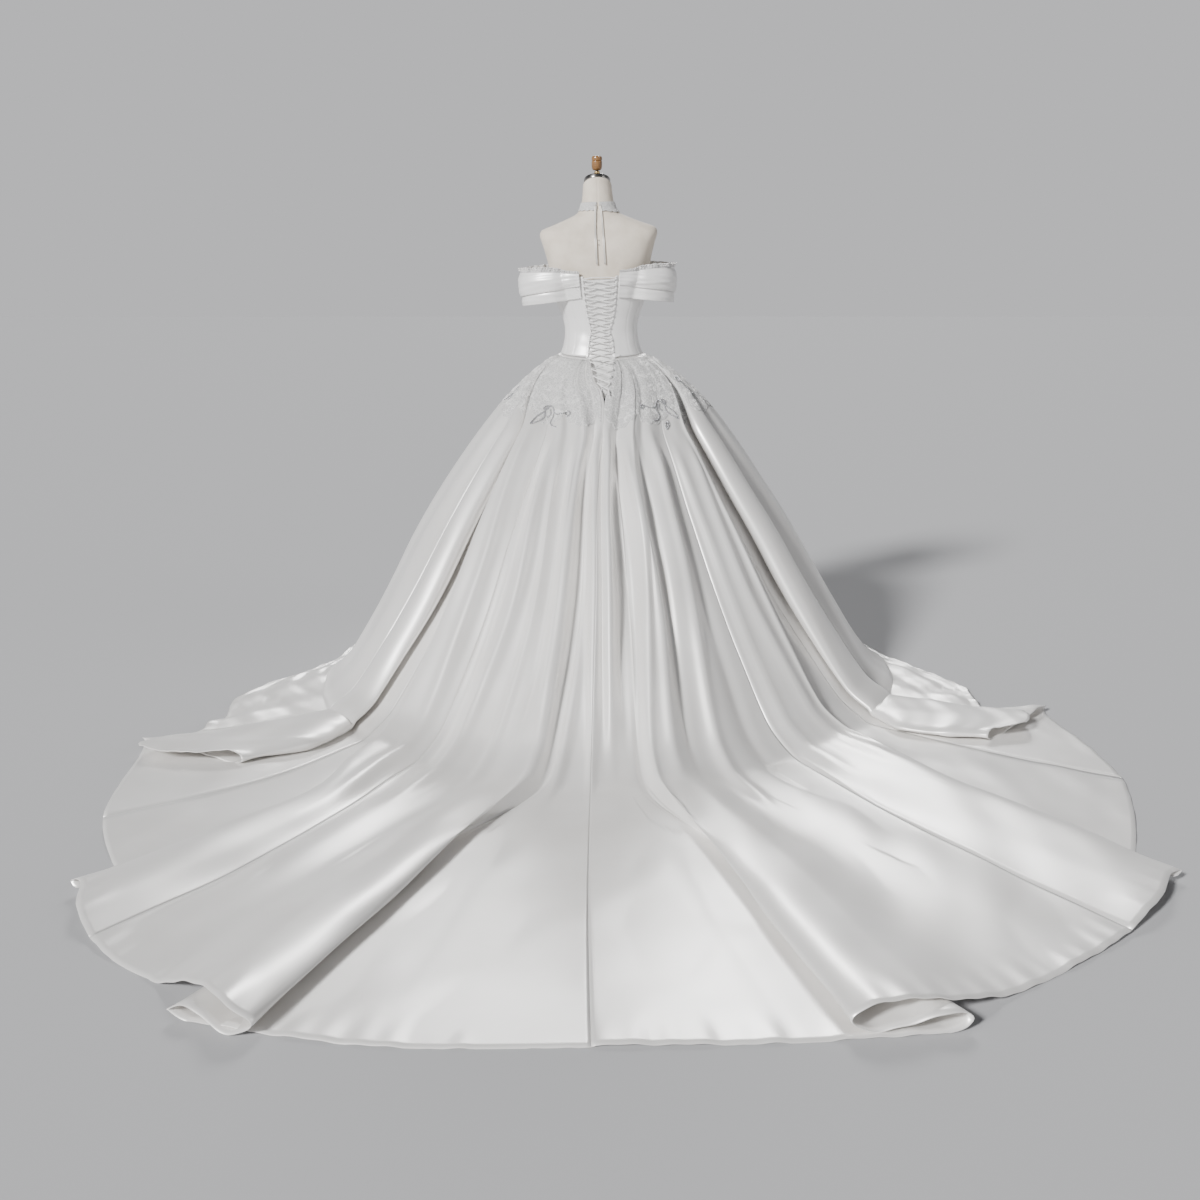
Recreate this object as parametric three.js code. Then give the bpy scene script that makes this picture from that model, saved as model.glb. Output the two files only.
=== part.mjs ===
// Wedding dress on a dress form: an off-shoulder satin gown with a laced back and a long pleated
// train, standing on a plain limbless form. Millimetres, +Z up. The origin is on the floor under
// the form's pole. The laced back and the train lie towards -Y, the garment's front faces +Y, and
// +X is the wearer's right. Azimuths are degrees round the pole: 0 is the centre back, positive
// towards +X and 180 the centre front.
import * as THREE from 'three';

// Driving dimensions of the form and its stand
const BASE_RADIUS = 190;
const BASE_HEIGHT = 16;
const POLE_RADIUS = 15;
const FORM_BOTTOM = 790;
const NECK_TOP = 1588;
const NECK_SLANT = 0.42;
const LEAN_PER_MM = 0.028;
const LEAN_PIVOT = 1380;
const SHOULDER_TILT = 0.033;

// Driving dimensions of the gown
const WAIST = 1050;
const WAIST_SEAM = 1039;
const CLOTH = 2;
const THIN_CLOTH = 1;
const SEAM_GAP = 0.3;
const BODICE_CLEAR = 3.6;
const SLIT_END = 912;
const CORD_RADIUS = 2;
const ARM_LOOP_LEFT = 243;
const ARM_LOOP_RIGHT = 228;

const DEGREE = Math.PI / 180;

// A table: the names of its columns, then one short list a row
function table(names, rows) {
  return rows.map((row) => Object.fromEntries(names.map((name, i) => [name, row[i]])));
}

// Form sections, bottom to top: half width, depth to the back and front, middle, squareness
const FORM_SECTIONS = table(['z', 'width', 'back', 'front', 'middle', 'square'], [
  [790, 160, 112, 98, 0, 2.2],
  [870, 171, 124, 104, 0, 2.2],
  [960, 160, 118, 102, 0, 2.2],
  [1040, 136, 100, 94, 0, 2.2],
  [1083, 119, 88, 88, 0, 2.2],
  [1130, 113, 80, 86, 0, 2.2],
  [1160, 117, 80, 90, 0, 2.2],
  [1207, 134, 86, 106, 0, 2.3],
  [1255, 149, 94, 128, 0, 2.4],
  [1300, 158, 99, 132, 0, 2.5],
  [1350, 167, 102, 116, 0, 2.8],
  [1400, 180, 96, 92, 0, 3.0],
  [1432, 189, 82, 74, 0, 3.0],
  [1446, 184, 72, 66, 0, 2.8],
  [1462, 145, 64, 58, 1, 2.4],
  [1480, 100, 58, 52, 3, 2.2],
  [1497, 66, 53, 50, 5, 2.0],
  [1515, 55, 50, 50, 7, 2.0],
  [1545, 49, 48, 48, 11, 2.0],
  [1588, 45, 45, 45, 16, 2.0],
]);

// Monotone cubic through a table's column, so that a curve never overshoots its rows
function monotone(knots, values) {
  const count = knots.length;
  const slopes = new Array(count).fill(0);
  const secants = [];
  for (let i = 0; i < count - 1; i += 1) {
    secants.push((values[i + 1] - values[i]) / (knots[i + 1] - knots[i]));
  }
  for (let i = 1; i < count - 1; i += 1) {
    const before = secants[i - 1];
    const after = secants[i];
    slopes[i] = before * after <= 0 ? 0 : (2 * before * after) / (before + after);
  }
  slopes[0] = secants[0];
  slopes[count - 1] = secants[count - 2];
  return (at) => {
    const x = Math.min(Math.max(at, knots[0]), knots[count - 1]);
    let i = 0;
    while (i < count - 2 && x > knots[i + 1]) i += 1;
    const span = knots[i + 1] - knots[i];
    const s = (x - knots[i]) / span;
    const h00 = (1 + 2 * s) * (1 - s) * (1 - s);
    const h10 = s * (1 - s) * (1 - s);
    const h01 = s * s * (3 - 2 * s);
    const h11 = s * s * (s - 1);
    const ends = h00 * values[i] + h01 * values[i + 1];
    return ends + span * (h10 * slopes[i] + h11 * slopes[i + 1]);
  };
}

function columnOf(rows, knot, name) {
  return monotone(rows.map((row) => row[knot]), rows.map((row) => row[name]));
}

function smoothStep(x) {
  const s = Math.min(Math.max(x, 0), 1);
  return s * s * (3 - 2 * s);
}

function mix(a, b, s) {
  return a + (b - a) * s;
}

const formWidth = columnOf(FORM_SECTIONS, 'z', 'width');
const formBack = columnOf(FORM_SECTIONS, 'z', 'back');
const formFront = columnOf(FORM_SECTIONS, 'z', 'front');
const formMiddle = columnOf(FORM_SECTIONS, 'z', 'middle');
const formSquare = columnOf(FORM_SECTIONS, 'z', 'square');

// The form stands a little aside and tilts on its pole, and the gown's top goes with it
function lean(point) {
  const held = smoothStep((point.z - 600) / 450);
  const tilt = smoothStep((point.z - WAIST) / 250);
  const shift = (LEAN_PIVOT - point.z) * LEAN_PER_MM * held;
  return new THREE.Vector3(point.x + shift, point.y, point.z + point.x * SHOULDER_TILT * tilt);
}

// A point on the form's section at a height, moved out square to the section
function formPoint(angle, z, out = 0) {
  const power = 2 / formSquare(z);
  const section = (degrees) => {
    const s = Math.sin(degrees * DEGREE);
    const c = Math.cos(degrees * DEGREE);
    const depth = c > 0 ? formBack(z) : formFront(z);
    const x = Math.sign(s) * formWidth(z) * Math.abs(s) ** power;
    const y = -Math.sign(c) * depth * Math.abs(c) ** power;
    return new THREE.Vector2(x, y + formMiddle(z));
  };
  const here = section(angle);
  const along = section(angle + 0.5).sub(section(angle - 0.5)).normalize();
  return new THREE.Vector3(here.x + along.y * out, here.y - along.x * out, z);
}

// Closed solid from rings of points, each ring closed, with a fan at either end
function ringSolid(rings) {
  const sides = rings[0].length;
  const positions = rings.flat();
  const faces = [];
  for (let r = 0; r < rings.length - 1; r += 1) {
    for (let i = 0; i < sides; i += 1) {
      const j = (i + 1) % sides;
      const a = r * sides + i;
      const b = r * sides + j;
      faces.push([a, b, b + sides], [a, b + sides, a + sides]);
    }
  }
  for (const end of [0, rings.length - 1]) {
    const middle = new THREE.Vector3();
    rings[end].forEach((p) => middle.addScaledVector(p, 1 / sides));
    positions.push(middle);
    for (let i = 0; i < sides; i += 1) {
      const a = end * sides + i;
      const b = end * sides + ((i + 1) % sides);
      faces.push(end === 0 ? [b, a, positions.length - 1] : [a, b, positions.length - 1]);
    }
  }
  return solid(positions, faces);
}

// Faces are turned to point out where the enclosed volume comes out negative
function solid(positions, faces) {
  let volume = 0;
  for (const [a, b, c] of faces) {
    volume += positions[a].dot(new THREE.Vector3().crossVectors(positions[b], positions[c]));
  }
  const order = volume < 0 ? faces.map(([a, b, c]) => [a, c, b]) : faces;
  const geometry = new THREE.BufferGeometry();
  const places = positions.flatMap((p) => [p.x, p.y, p.z]);
  geometry.setAttribute('position', new THREE.Float32BufferAttribute(places, 3));
  geometry.setIndex(order.flat());
  geometry.computeVertexNormals();
  return geometry;
}

// The two faces of a cloth: a grid of points on its middle, moved out evenly to either side.
// 'closed' says in which rows the last column comes round to the first.
function clothFaces(grid, thickness, { onFloor = false, levelTop = false, closed = () => false } = {}) {
  const lastRow = grid.length - 1;
  const last = grid[0].length - 1;
  const outer = [];
  const inner = [];
  const down = new THREE.Vector3();
  const across = new THREE.Vector3();
  grid.forEach((row, r) => {
    const left = (c) => (c > 0 ? row[c - 1] : row[closed(r) ? last - 1 : 0]);
    const right = (c) => (c < last ? row[c + 1] : row[closed(r) ? 1 : last]);
    const faces = row.map((point, c) => {
      down.subVectors(grid[Math.min(r + 1, lastRow)][c], grid[Math.max(r - 1, 0)][c]).normalize();
      if (levelTop && r === 0) down.set(0, 0, -1);
      across.subVectors(right(c), left(c)).normalize();
      const normal = new THREE.Vector3().crossVectors(down, across).normalize();
      return [1, -1].map((way) => {
        const p = point.clone().addScaledVector(normal, (way * thickness) / 2);
        return onFloor ? p.setZ(Math.max(p.z, 0)) : p;
      });
    });
    outer.push(faces.map(([out]) => out));
    inner.push(faces.map(([, back]) => back));
  });
  return { outer, inner };
}

// Closed solid between the two faces of a cloth
function clothWall({ outer, inner }) {
  const rows = outer.length;
  const columns = outer[0].length;
  const positions = [...outer.flat(), ...inner.flat()];
  const other = rows * columns;
  const faces = [];
  const quad = (a, b, c, d) => faces.push([a, b, c], [a, c, d]);
  for (let r = 0; r < rows - 1; r += 1) {
    for (let c = 0; c < columns - 1; c += 1) {
      const a = r * columns + c;
      quad(a, a + columns, a + columns + 1, a + 1);
      quad(other + a, other + a + 1, other + a + columns + 1, other + a + columns);
    }
  }
  const rim = [];
  const foot = (rows - 1) * columns;
  for (let c = 0; c < columns - 1; c += 1) rim.push([c, c + 1]);
  for (let r = 0; r < rows - 1; r += 1) rim.push([(r + 1) * columns - 1, (r + 2) * columns - 1]);
  for (let c = columns - 1; c > 0; c -= 1) rim.push([foot + c, foot + c - 1]);
  for (let r = rows - 1; r > 0; r -= 1) rim.push([r * columns, (r - 1) * columns]);
  rim.forEach(([a, b]) => quad(a, b, other + b, other + a));
  return solid(positions, faces);
}

function gridOf(rows, columns, place) {
  const grid = [];
  for (let r = 0; r <= rows; r += 1) {
    const line = [];
    for (let c = 0; c <= columns; c += 1) line.push(place(c / columns, r / rows));
    grid.push(line);
  }
  return grid;
}

// Centripetal Catmull-Rom along a row of points, so that cloth curves evenly from one to the next
function spline(points, position, closed = false) {
  const last = points.length - 1;
  const i = Math.min(Math.floor(position), last - 1);
  const s = position - i;
  const p0 = points[i > 0 ? i - 1 : (closed ? last - 1 : 0)];
  const p1 = points[i];
  const p2 = points[i + 1];
  const p3 = points[i + 2 <= last ? i + 2 : (closed ? 1 : last)];
  const knot = (a, b) => Math.sqrt(a.distanceTo(b));
  const t1 = knot(p0, p1);
  const t2 = Math.max(knot(p1, p2), 0.1);
  const t3 = knot(p2, p3);
  const chord = p2.clone().sub(p1);
  const slope = (from, middle, to, before, after) => {
    if (before < 0.1 || after < 0.1) return chord;
    const turn = middle.clone().sub(from).divideScalar(before);
    turn.add(to.clone().sub(middle).divideScalar(after));
    return turn.sub(to.clone().sub(from).divideScalar(before + after)).multiplyScalar(t2);
  };
  const m1 = slope(p0, p1, p2, t1, t2);
  const m2 = slope(p1, p2, p3, t2, t3);
  return p1.clone().multiplyScalar((1 + 2 * s) * (1 - s) * (1 - s))
    .addScaledVector(m1, s * (1 - s) * (1 - s))
    .addScaledVector(p2, s * s * (3 - 2 * s))
    .addScaledVector(m2, s * s * (s - 1));
}

const LINEN = new THREE.MeshStandardMaterial({ color: 0xd9cfbf, roughness: 0.9 });
const STEEL = new THREE.MeshStandardMaterial({ color: 0x8f8d8a, roughness: 0.3, metalness: 1 });
const BRASS = new THREE.MeshStandardMaterial({ color: 0xb08a4a, roughness: 0.35, metalness: 1 });
const WOOD = new THREE.MeshStandardMaterial({ color: 0xa87a45, roughness: 0.5 });
const SATIN = new THREE.MeshStandardMaterial({ color: 0xe9e6e2, roughness: 0.35 });
const LACE = new THREE.MeshStandardMaterial({ color: 0xf1efec, roughness: 0.8 });
const CORD = new THREE.MeshStandardMaterial({ color: 0xefece8, roughness: 0.5 });

const gown = new THREE.Group();

function add(name, geometry, material) {
  const mesh = new THREE.Mesh(geometry, material);
  mesh.name = name;
  gown.add(mesh);
}

// A turned piece standing on the floor plane, from its half profile
function turned(profile, sides) {
  const points = profile.map(([x, y]) => new THREE.Vector2(x, y));
  return new THREE.LatheGeometry(points, sides).rotateX(Math.PI / 2);
}

function leanAll(geometry) {
  const place = geometry.getAttribute('position');
  for (let i = 0; i < place.count; i += 1) {
    const p = lean(new THREE.Vector3().fromBufferAttribute(place, i));
    place.setXYZ(i, p.x, p.y, p.z);
  }
  return geometry;
}

// Stand: a flat round foot with a raised boss, and a pole up into the form
const BOSS = 22;
function buildStand() {
  const foot = turned([
    [0, 0], [BASE_RADIUS, 0], [BASE_RADIUS, BASE_HEIGHT * 0.6], [BASE_RADIUS - 6, BASE_HEIGHT],
    [POLE_RADIUS + 22, BASE_HEIGHT + 6], [POLE_RADIUS + 14, BASE_HEIGHT + BOSS], [0, BASE_HEIGHT + BOSS],
  ], 40);
  add('stand_foot', foot, STEEL);
  const poleFrom = BASE_HEIGHT + BOSS + SEAM_GAP;
  const poleTo = FORM_BOTTOM - SEAM_GAP;
  const pole = new THREE.CylinderGeometry(POLE_RADIUS, POLE_RADIUS, poleTo - poleFrom, 20);
  pole.rotateX(Math.PI / 2);
  pole.translate(0, 0, (poleFrom + poleTo) / 2);
  add('stand_pole', pole, STEEL);
}

// Form: torso and neck in one padded shell; the neck's top slants down to the front
const FORM_RINGS = [790, 797, 835, 890, 960, 1015, 1050, 1083, 1107, 1130, 1155, 1182, 1212, 1250,
  1290, 1335, 1380, 1412, 1432, 1441, 1450, 1464, 1480, 1496, 1512, 1530, 1555, 1580];
const FORM_SIDES = 26;
const NECK_MIDDLE = 16;
function buildForm() {
  const ringAt = (z, inset, height) => {
    const ring = [];
    for (let i = 0; i < FORM_SIDES; i += 1) {
      const p = formPoint((i * 360) / FORM_SIDES, z, inset);
      ring.push(lean(new THREE.Vector3(p.x, p.y, height(p.y - NECK_MIDDLE))));
    }
    return ring;
  };
  const rings = FORM_RINGS.map((z) => {
    const slant = smoothStep((z - 1532) / 48) * NECK_SLANT;
    return ringAt(z, z === FORM_BOTTOM ? -8 : 0, (forward) => z - slant * forward);
  });
  rings.push(ringAt(1580, -9, (forward) => NECK_TOP - NECK_SLANT * forward));
  add('form_torso', ringSolid(rings), LINEN);
}

// Neck plate and finial: a steel cap on the slanted neck, a brass stem and a turned wooden knob
function buildFinial() {
  const seat = NECK_TOP + SEAM_GAP;
  const tilt = Math.atan(NECK_SLANT);
  const plateHeight = 13;
  const stemHeight = 23;
  const rise = 16;
  const plate = turned([[0, 0], [35, 0], [36, 2], [36, 7], [33, 10], [12, 12], [10, plateHeight],
    [0, plateHeight]], 28);
  plate.rotateX(-tilt);
  plate.translate(0, NECK_MIDDLE, seat);
  add('neck_plate', leanAll(plate), STEEL);
  const middle = NECK_MIDDLE + plateHeight * Math.sin(tilt);
  const stem = turned([[0, 0], [7, 0], [7, 10], [9, 12], [9, 20], [6, stemHeight], [0, stemHeight]], 18);
  stem.translate(0, middle, seat + rise);
  add('finial_stem', leanAll(stem), BRASS);
  const knob = turned([
    [0, 0], [10, 0], [15, 5], [17, 13], [17, 24], [13.5, 27], [17, 30], [17, 36], [13, 43], [0, 45],
  ], 22);
  knob.translate(0, middle, seat + rise + stemHeight + SEAM_GAP);
  add('finial_knob', leanAll(knob), WOOD);
}

// Bodice edges by angle from the centre back
const BODICE_EDGE = table(['angle', 'top', 'low'], [
  [0, 1298, 1042],
  [35, 1300, 1047],
  [90, 1292, 1054],
  [130, 1322, 1048],
  [158, 1338, 1040],
  [180, 1318, 1036],
]);
const bodiceTop = columnOf(BODICE_EDGE, 'angle', 'top');
const bodiceLow = columnOf(BODICE_EDGE, 'angle', 'low');

// The laced opening: its edges either side of the centre back, by height
const OPENING = table(['z', 'left', 'right'], [
  [1040, -43, 35],
  [1095, -37, 31],
  [1127, -31, 23],
  [1150, -35, 30],
  [1200, -44, 41],
  [1250, -49, 46],
  [1300, -52, 50],
]);
const openingLeft = columnOf(OPENING, 'z', 'left');
const openingRight = columnOf(OPENING, 'z', 'right');
const LACE_ANGLE = 24;

// The section angle at which the form's back has a given X
function angleAtX(x, z) {
  const share = Math.min(Math.abs(x) / formWidth(z), 1);
  return (Math.asin(share ** (formSquare(z) / 2)) / DEGREE) * Math.sign(x);
}

// Bodice panels: their edges by angle, where 'lace' follows the laced opening
const BODICE_PANELS = table(['name', 'from', 'to', 'columns'], [
  ['bodice_back_left', -62, 'lace', 6],
  ['bodice_back_right', 'lace', 62, 6],
  ['bodice_side_left', -112, -62, 5],
  ['bodice_side_right', 62, 112, 5],
  ['bodice_front', 112, 248, 14],
]);
const BODICE_ROWS = 9;

function bodiceHeight(angle, v) {
  const around = Math.abs(angle > 180 ? 360 - angle : angle);
  return mix(bodiceTop(around), bodiceLow(around), v);
}

function buildBodice() {
  for (const { name, from, to, columns } of BODICE_PANELS) {
    const rough = (edge) => (edge === 'lace' ? Math.sign(from === 'lace' ? 1 : -1) * LACE_ANGLE : edge);
    const edgeAngle = (edge, z, inward) => {
      if (edge !== 'lace') return edge + (inward * SEAM_GAP) / formWidth(z) / DEGREE;
      return angleAtX(to === 'lace' ? openingLeft(z) : openingRight(z), z);
    };
    const grid = gridOf(BODICE_ROWS, columns, (u, v) => {
      const z = bodiceHeight(mix(rough(from), rough(to), u), v);
      const angle = mix(edgeAngle(from, z, 1), edgeAngle(to, z, -1), u);
      return lean(formPoint(angle, z, BODICE_CLEAR + CLOTH / 2));
    });
    add(name, clothWall(clothFaces(grid, CLOTH, { levelTop: true })), SATIN);
  }
}

// Skirt radius where its slope meets the floor, by azimuth
const FLOOR_LINE = table(['azimuth', 'radius'], [
  [-180, 800],
  [-120, 815],
  [-90, 866],
  [-68, 934],
  [-50, 1000],
  [-30, 1060],
  [-18, 1125],
  [-8, 1165],
  [8, 1165],
  [18, 1130],
  [30, 1070],
  [50, 1020],
  [68, 990],
  [90, 955],
  [120, 865],
  [180, 800],
]);
const floorRadius = columnOf(FLOOR_LINE, 'azimuth', 'radius');

// Skirt profile: how far out it has gone, from waist to floor, at each share of the drop
const SKIRT_PROFILE = table(['drop', 'share'], [
  [0, 0],
  [0.03, 0.07],
  [0.145, 0.228],
  [0.447, 0.51],
  [0.786, 0.778],
  [0.94, 0.918],
  [1, 1],
]);
const profileShare = columnOf(SKIRT_PROFILE, 'drop', 'share');
const LANDING_START = 0.9;
const LANDING_END = 1.12;

// Share of the way down at which each column of the fold tables holds: the drop is 0 to 1, and
// 1 to 2 is the stretch that lies on the floor
const STATION = { waist: 0, high: 0.22, mid: 0.57, land: 0.98, spread: 1.4, hem: 2 };

// Fold lines of the skirt from the centre back to each side: azimuth at each station, height of
// the fold over the skirt's middle surface, and the hem's distance from the pole
const FOLD_COLUMNS = ['name', 'turn', 'waist', 'high', 'mid', 'land', 'spread', 'hem',
  'outHigh', 'outMid', 'outLand', 'outHem', 'reach'];
const LEFT_FOLDS = table(FOLD_COLUMNS, [
  ['back_seam', '', -0.1, -0.4, -0.4, -1, -0.8, -0.3, 5, 18, 3, 0, 2426],
  ['train_floor', '', -6, -2.2, -2.1, -3.6, -7.2, -9.4, -4, -9, 1, 0, 2456],
  ['train_under', 'under', -12, -3.9, -3.7, -6.4, -14.2, -18.8, -14, -32, 0, 0, 2462],
  ['train_over', 'over', -25, -7.6, -7.2, -8.6, -12.3, -14.5, 10, 20, 34, 52, 2478],
  ['train_cover', '', -29, -11, -10, -11.8, -16, -17.4, 3, 2, 22, 52, 2424],
  ['train_beside', '', -34, -15.2, -13.6, -15.6, -19.4, -21.6, -7, -13, 3, 4, 2358],
  ['back_crest_one', '', -42, -18.6, -19.6, -21.6, -22.6, -24.7, 6, 11, 10, 2, 2322],
  ['back_hollow', '', -50, -26, -25, -26.5, -25.2, -27, -5, -9, 2, 8, 2284],
  ['back_crest_two', '', -59, -32, -30, -31, -27.4, -29.4, 12, 18, 28, 30, 2232],
  ['pleat_over', 'over', -68, -39, -36.5, -36.5, -30.4, -32.6, 20, 28, 34, 36, 2148],
  ['pleat_under', 'under', -69.5, -35.4, -32.6, -33, -28.3, -30.8, -26, -34, 0, 0, 2040],
  ['underlay', '', -71, -40, -39, -39.5, -38, -41.5, -32, -40, 0, 0, 1862],
  ['side_under', 'under', -72.5, -45, -45.4, -48, -51, -57.6, -26, -34, 0, 0, 1556],
  ['side_over', 'over', -74, -40.6, -41.7, -44, -41.4, -43.4, 12, 16, 32, 34, 1424],
  ['side_flare', '', -76, -46, -46, -47, -47, -48.6, 26, 34, 40, 34, 1532],
  ['side_tip', '', -78, -51, -50, -51.5, -52, -53.6, 14, 16, 34, 34, 1600],
  ['side_notch', '', -80, -57, -56, -56, -56, -56.6, -10, -12, 4, 3, 1400],
  ['side_crest', '', -83, -66, -65, -62, -60, -58.6, 10, 14, 14, 12, 1356],
  ['side_dip', '', -86, -74, -73, -69, -64, -60.6, 8, 12, 6, 2, 1300],
  ['side_corner', '', -90, -84, -84, -79, -73, -69, 22, 30, 16, 6, 1222],
]);
const RIGHT_FOLDS = table(FOLD_COLUMNS, [
  ['back_seam', '', 0.1, -0.4, -0.4, -1, -0.8, -0.3, 5, 18, 3, 0, 2426],
  ['back_roll', '', 8, 2.6, 2.6, 2.2, 4.6, 7, 4, 14, 3, 1, 2434],
  ['train_under', 'under', 16, 6, 6.6, 5.6, 11.4, 15.9, -18, -38, 0, 0, 2464],
  ['train_over', 'over', 27, 12.4, 10.6, 7.4, 9.3, 10.8, 12, 20, 34, 58, 2436],
  ['train_cover', '', 31, 14.6, 12.6, 11.2, 13.6, 14.6, 4, 8, 26, 50, 2428],
  ['train_beside', '', 36, 17, 14.6, 15, 17.6, 19.4, -4, -6, 3, 4, 2382],
  ['back_crest_one', '', 45, 21, 18.8, 20, 22.6, 24.7, 5, 10, 8, 3, 2326],
  ['back_hollow', '', 54, 29, 28, 29, 28, 28.8, -3, -7, 2, 6, 2284],
  ['back_crest_two', '', 60, 35, 35, 35.5, 33, 32.6, 8, 14, 24, 28, 2240],
  ['pleat_over', 'over', 66, 40.5, 41, 41.5, 38.4, 36.8, 16, 24, 32, 34, 2180],
  ['pleat_under', 'under', 68, 43.4, 44.6, 42.5, 35.6, 34.2, -14, -24, 0, 0, 2090],
  ['underlay', '', 70, 47.6, 49.6, 50, 50, 51, -28, -38, 0, 0, 1800],
  ['side_under', 'under', 71.5, 54, 56, 58, 61, 68.4, -24, -34, 0, 0, 1480],
  ['side_over', 'over', 73, 50.8, 52.6, 52.6, 48.8, 53, 10, 14, 30, 34, 1400],
  ['side_flare', '', 75, 57, 58.4, 57.4, 56, 58, 22, 30, 36, 40, 1470],
  ['side_tip', '', 77.5, 62, 63, 62, 61.4, 62.8, 12, 14, 30, 34, 1432],
  ['side_notch', '', 80, 67, 68, 66, 65, 64.8, -8, -8, 6, 3, 1318],
  ['side_crest', '', 84, 74, 75, 71, 68.6, 67.4, 14, 24, 16, 10, 1276],
  ['side_dip', '', 87, 81, 82, 77, 73, 70, 10, 16, 8, 3, 1254],
  ['side_corner', '', 91, 90, 91, 86, 79.4, 74, 20, 28, 14, 6, 1228],
]);

// The front and sides fall in even folds from the waist, each a ridge and a hollow
const FRONT_FOLDS = 5;
const FRONT_RIDGE = 22;
const FRONT_HOLLOW = -16;
const FRONT_HEM_ON_FLOOR = 55;

function foldLine(fold) {
  const stations = ['waist', 'high', 'mid', 'land', 'spread', 'hem'];
  const azimuth = monotone(stations.map((key) => STATION[key]), stations.map((key) => fold[key]));
  const { high, mid, land, hem } = STATION;
  const out = monotone([0, high, mid, land, hem], [0, fold.outHigh, fold.outMid, fold.outLand, fold.outHem]);
  return { name: fold.name, azimuth, out, reach: fold.reach };
}

// A knife pleat: the cloth turns under at one line and over at the other. While the two lines
// stand side by side it is a plain wave, and where they pass each other the cloth lies in three.
const TURN_WIDTH = 1;
const FULL_OVERLAP = 3.2;
const UNDER_RISE = [0, 0.4, 0.74];
const OVER_DROP = [0.84, 0.42, 0];
const ROUNDING = 0.16;
function knifePleat(first, second, firstTurn, side) {
  const underFirst = firstTurn === 'under';
  const under = underFirst ? first : second;
  const over = underFirst ? second : first;
  const travel = underFirst ? side : -side;
  const passed = (v) => travel * (under.azimuth(v) - over.azimuth(v));
  const folded = (v) => Math.min(Math.max(passed(v) / FULL_OVERLAP, -1), 1);
  const width = (v) => travel * TURN_WIDTH * Math.min(1, 0.25 + 0.3 * Math.abs(passed(v)));
  const rise = (v) => over.out(v) - under.out(v);
  const share = (v, part, place) => {
    const flat = Math.max(folded(v), 0);
    return part * flat + (place === 0 ? 0 : ROUNDING) * (1 - flat);
  };
  const places = [-1, 0, 1];
  const underLines = places.map((place, i) => ({
    azimuth: (v) => under.azimuth(v) + width(v) * (place === 1 ? -folded(v) : place),
    out: (v) => under.out(v) + rise(v) * share(v, UNDER_RISE[i], place),
    reach: under.reach,
  }));
  const overLines = places.map((place, i) => ({
    azimuth: (v) => over.azimuth(v) + width(v) * (place === -1 ? folded(v) : place),
    out: (v) => over.out(v) - rise(v) * share(v, OVER_DROP[i], place),
    reach: over.reach,
  }));
  const lines = [...underLines, ...overLines];
  return underFirst ? lines : lines.reverse();
}

// Every fold line of one side, from the centre back to the last line before the centre front
function sideLines(folds, side) {
  const lines = [];
  const plain = folds.map(foldLine);
  folds.forEach((fold, i) => {
    if (fold.turn && !folds[i - 1].turn) lines.push(...knifePleat(plain[i], plain[i + 1], fold.turn, side));
    if (!fold.turn) lines.push(plain[i]);
  });
  const corner = folds[folds.length - 1];
  const steps = FRONT_FOLDS * 2;
  for (let i = 1; i < steps; i += 1) {
    const share = i / steps;
    const azimuth = mix(corner.mid, side * 180, share);
    const hem = mix(corner.hem, side * 180, share ** 0.75);
    const ridge = i % 2 === 0;
    const height = (ridge ? FRONT_RIDGE : FRONT_HOLLOW) * (0.8 + 0.35 * Math.sin(i * 2.3 + side));
    lines.push(foldLine({
      name: `front_${i}`,
      waist: mix(corner.waist, side * 180, share),
      high: azimuth,
      mid: azimuth,
      land: mix(azimuth, hem, 0.4),
      spread: mix(azimuth, hem, 0.7),
      hem,
      outHigh: height * 0.7,
      outMid: height,
      outLand: Math.max(height * 0.25, 0),
      outHem: Math.max(height * 0.2, 0),
      reach: floorRadius(hem) + FRONT_HEM_ON_FLOOR,
    }));
  }
  return lines;
}

// The centre front, a ridge common to both sides
const FRONT_LINE = foldLine({
  name: 'front', waist: 180, high: 180, mid: 180, land: 180, spread: 180, hem: 180,
  outHigh: 14, outMid: 20, outLand: 5, outHem: 4, reach: floorRadius(180) + FRONT_HEM_ON_FLOOR,
});

// The laced slit below the waist seam: half gaps either side of the centre back, by height
const SLIT = table(['z', 'left', 'right', 'middle'], [
  [760, 0, 0, 0],
  [SLIT_END, 0, 0, 8],
  [950, 8, 8, 8],
  [982, 24, 22, 1],
  [1010, 32, 31, 0],
  [1050, 41, 37, 0],
]);
const slitLeft = columnOf(SLIT, 'z', 'left');
const slitRight = columnOf(SLIT, 'z', 'right');
const slitMiddle = columnOf(SLIT, 'z', 'middle');
const SLIT_PUSH = 30;

// The waist seam's ring: the bodice's own low edge, read back by azimuth
const waistRing = [];
for (let angle = -180; angle <= 180; angle += 5) {
  const low = bodiceLow(Math.abs(angle));
  const p = formPoint(angle, low, BODICE_CLEAR + CLOTH / 2);
  const azimuth = Math.abs(angle) === 180 ? angle : Math.atan2(p.x, -p.y) / DEGREE;
  waistRing.push({ azimuth, radius: Math.hypot(p.x, p.y), low });
}
const waistRadius = columnOf(waistRing, 'azimuth', 'radius');
const waistLow = columnOf(waistRing, 'azimuth', 'low');
const WAIST_GAP = 0.8;

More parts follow.
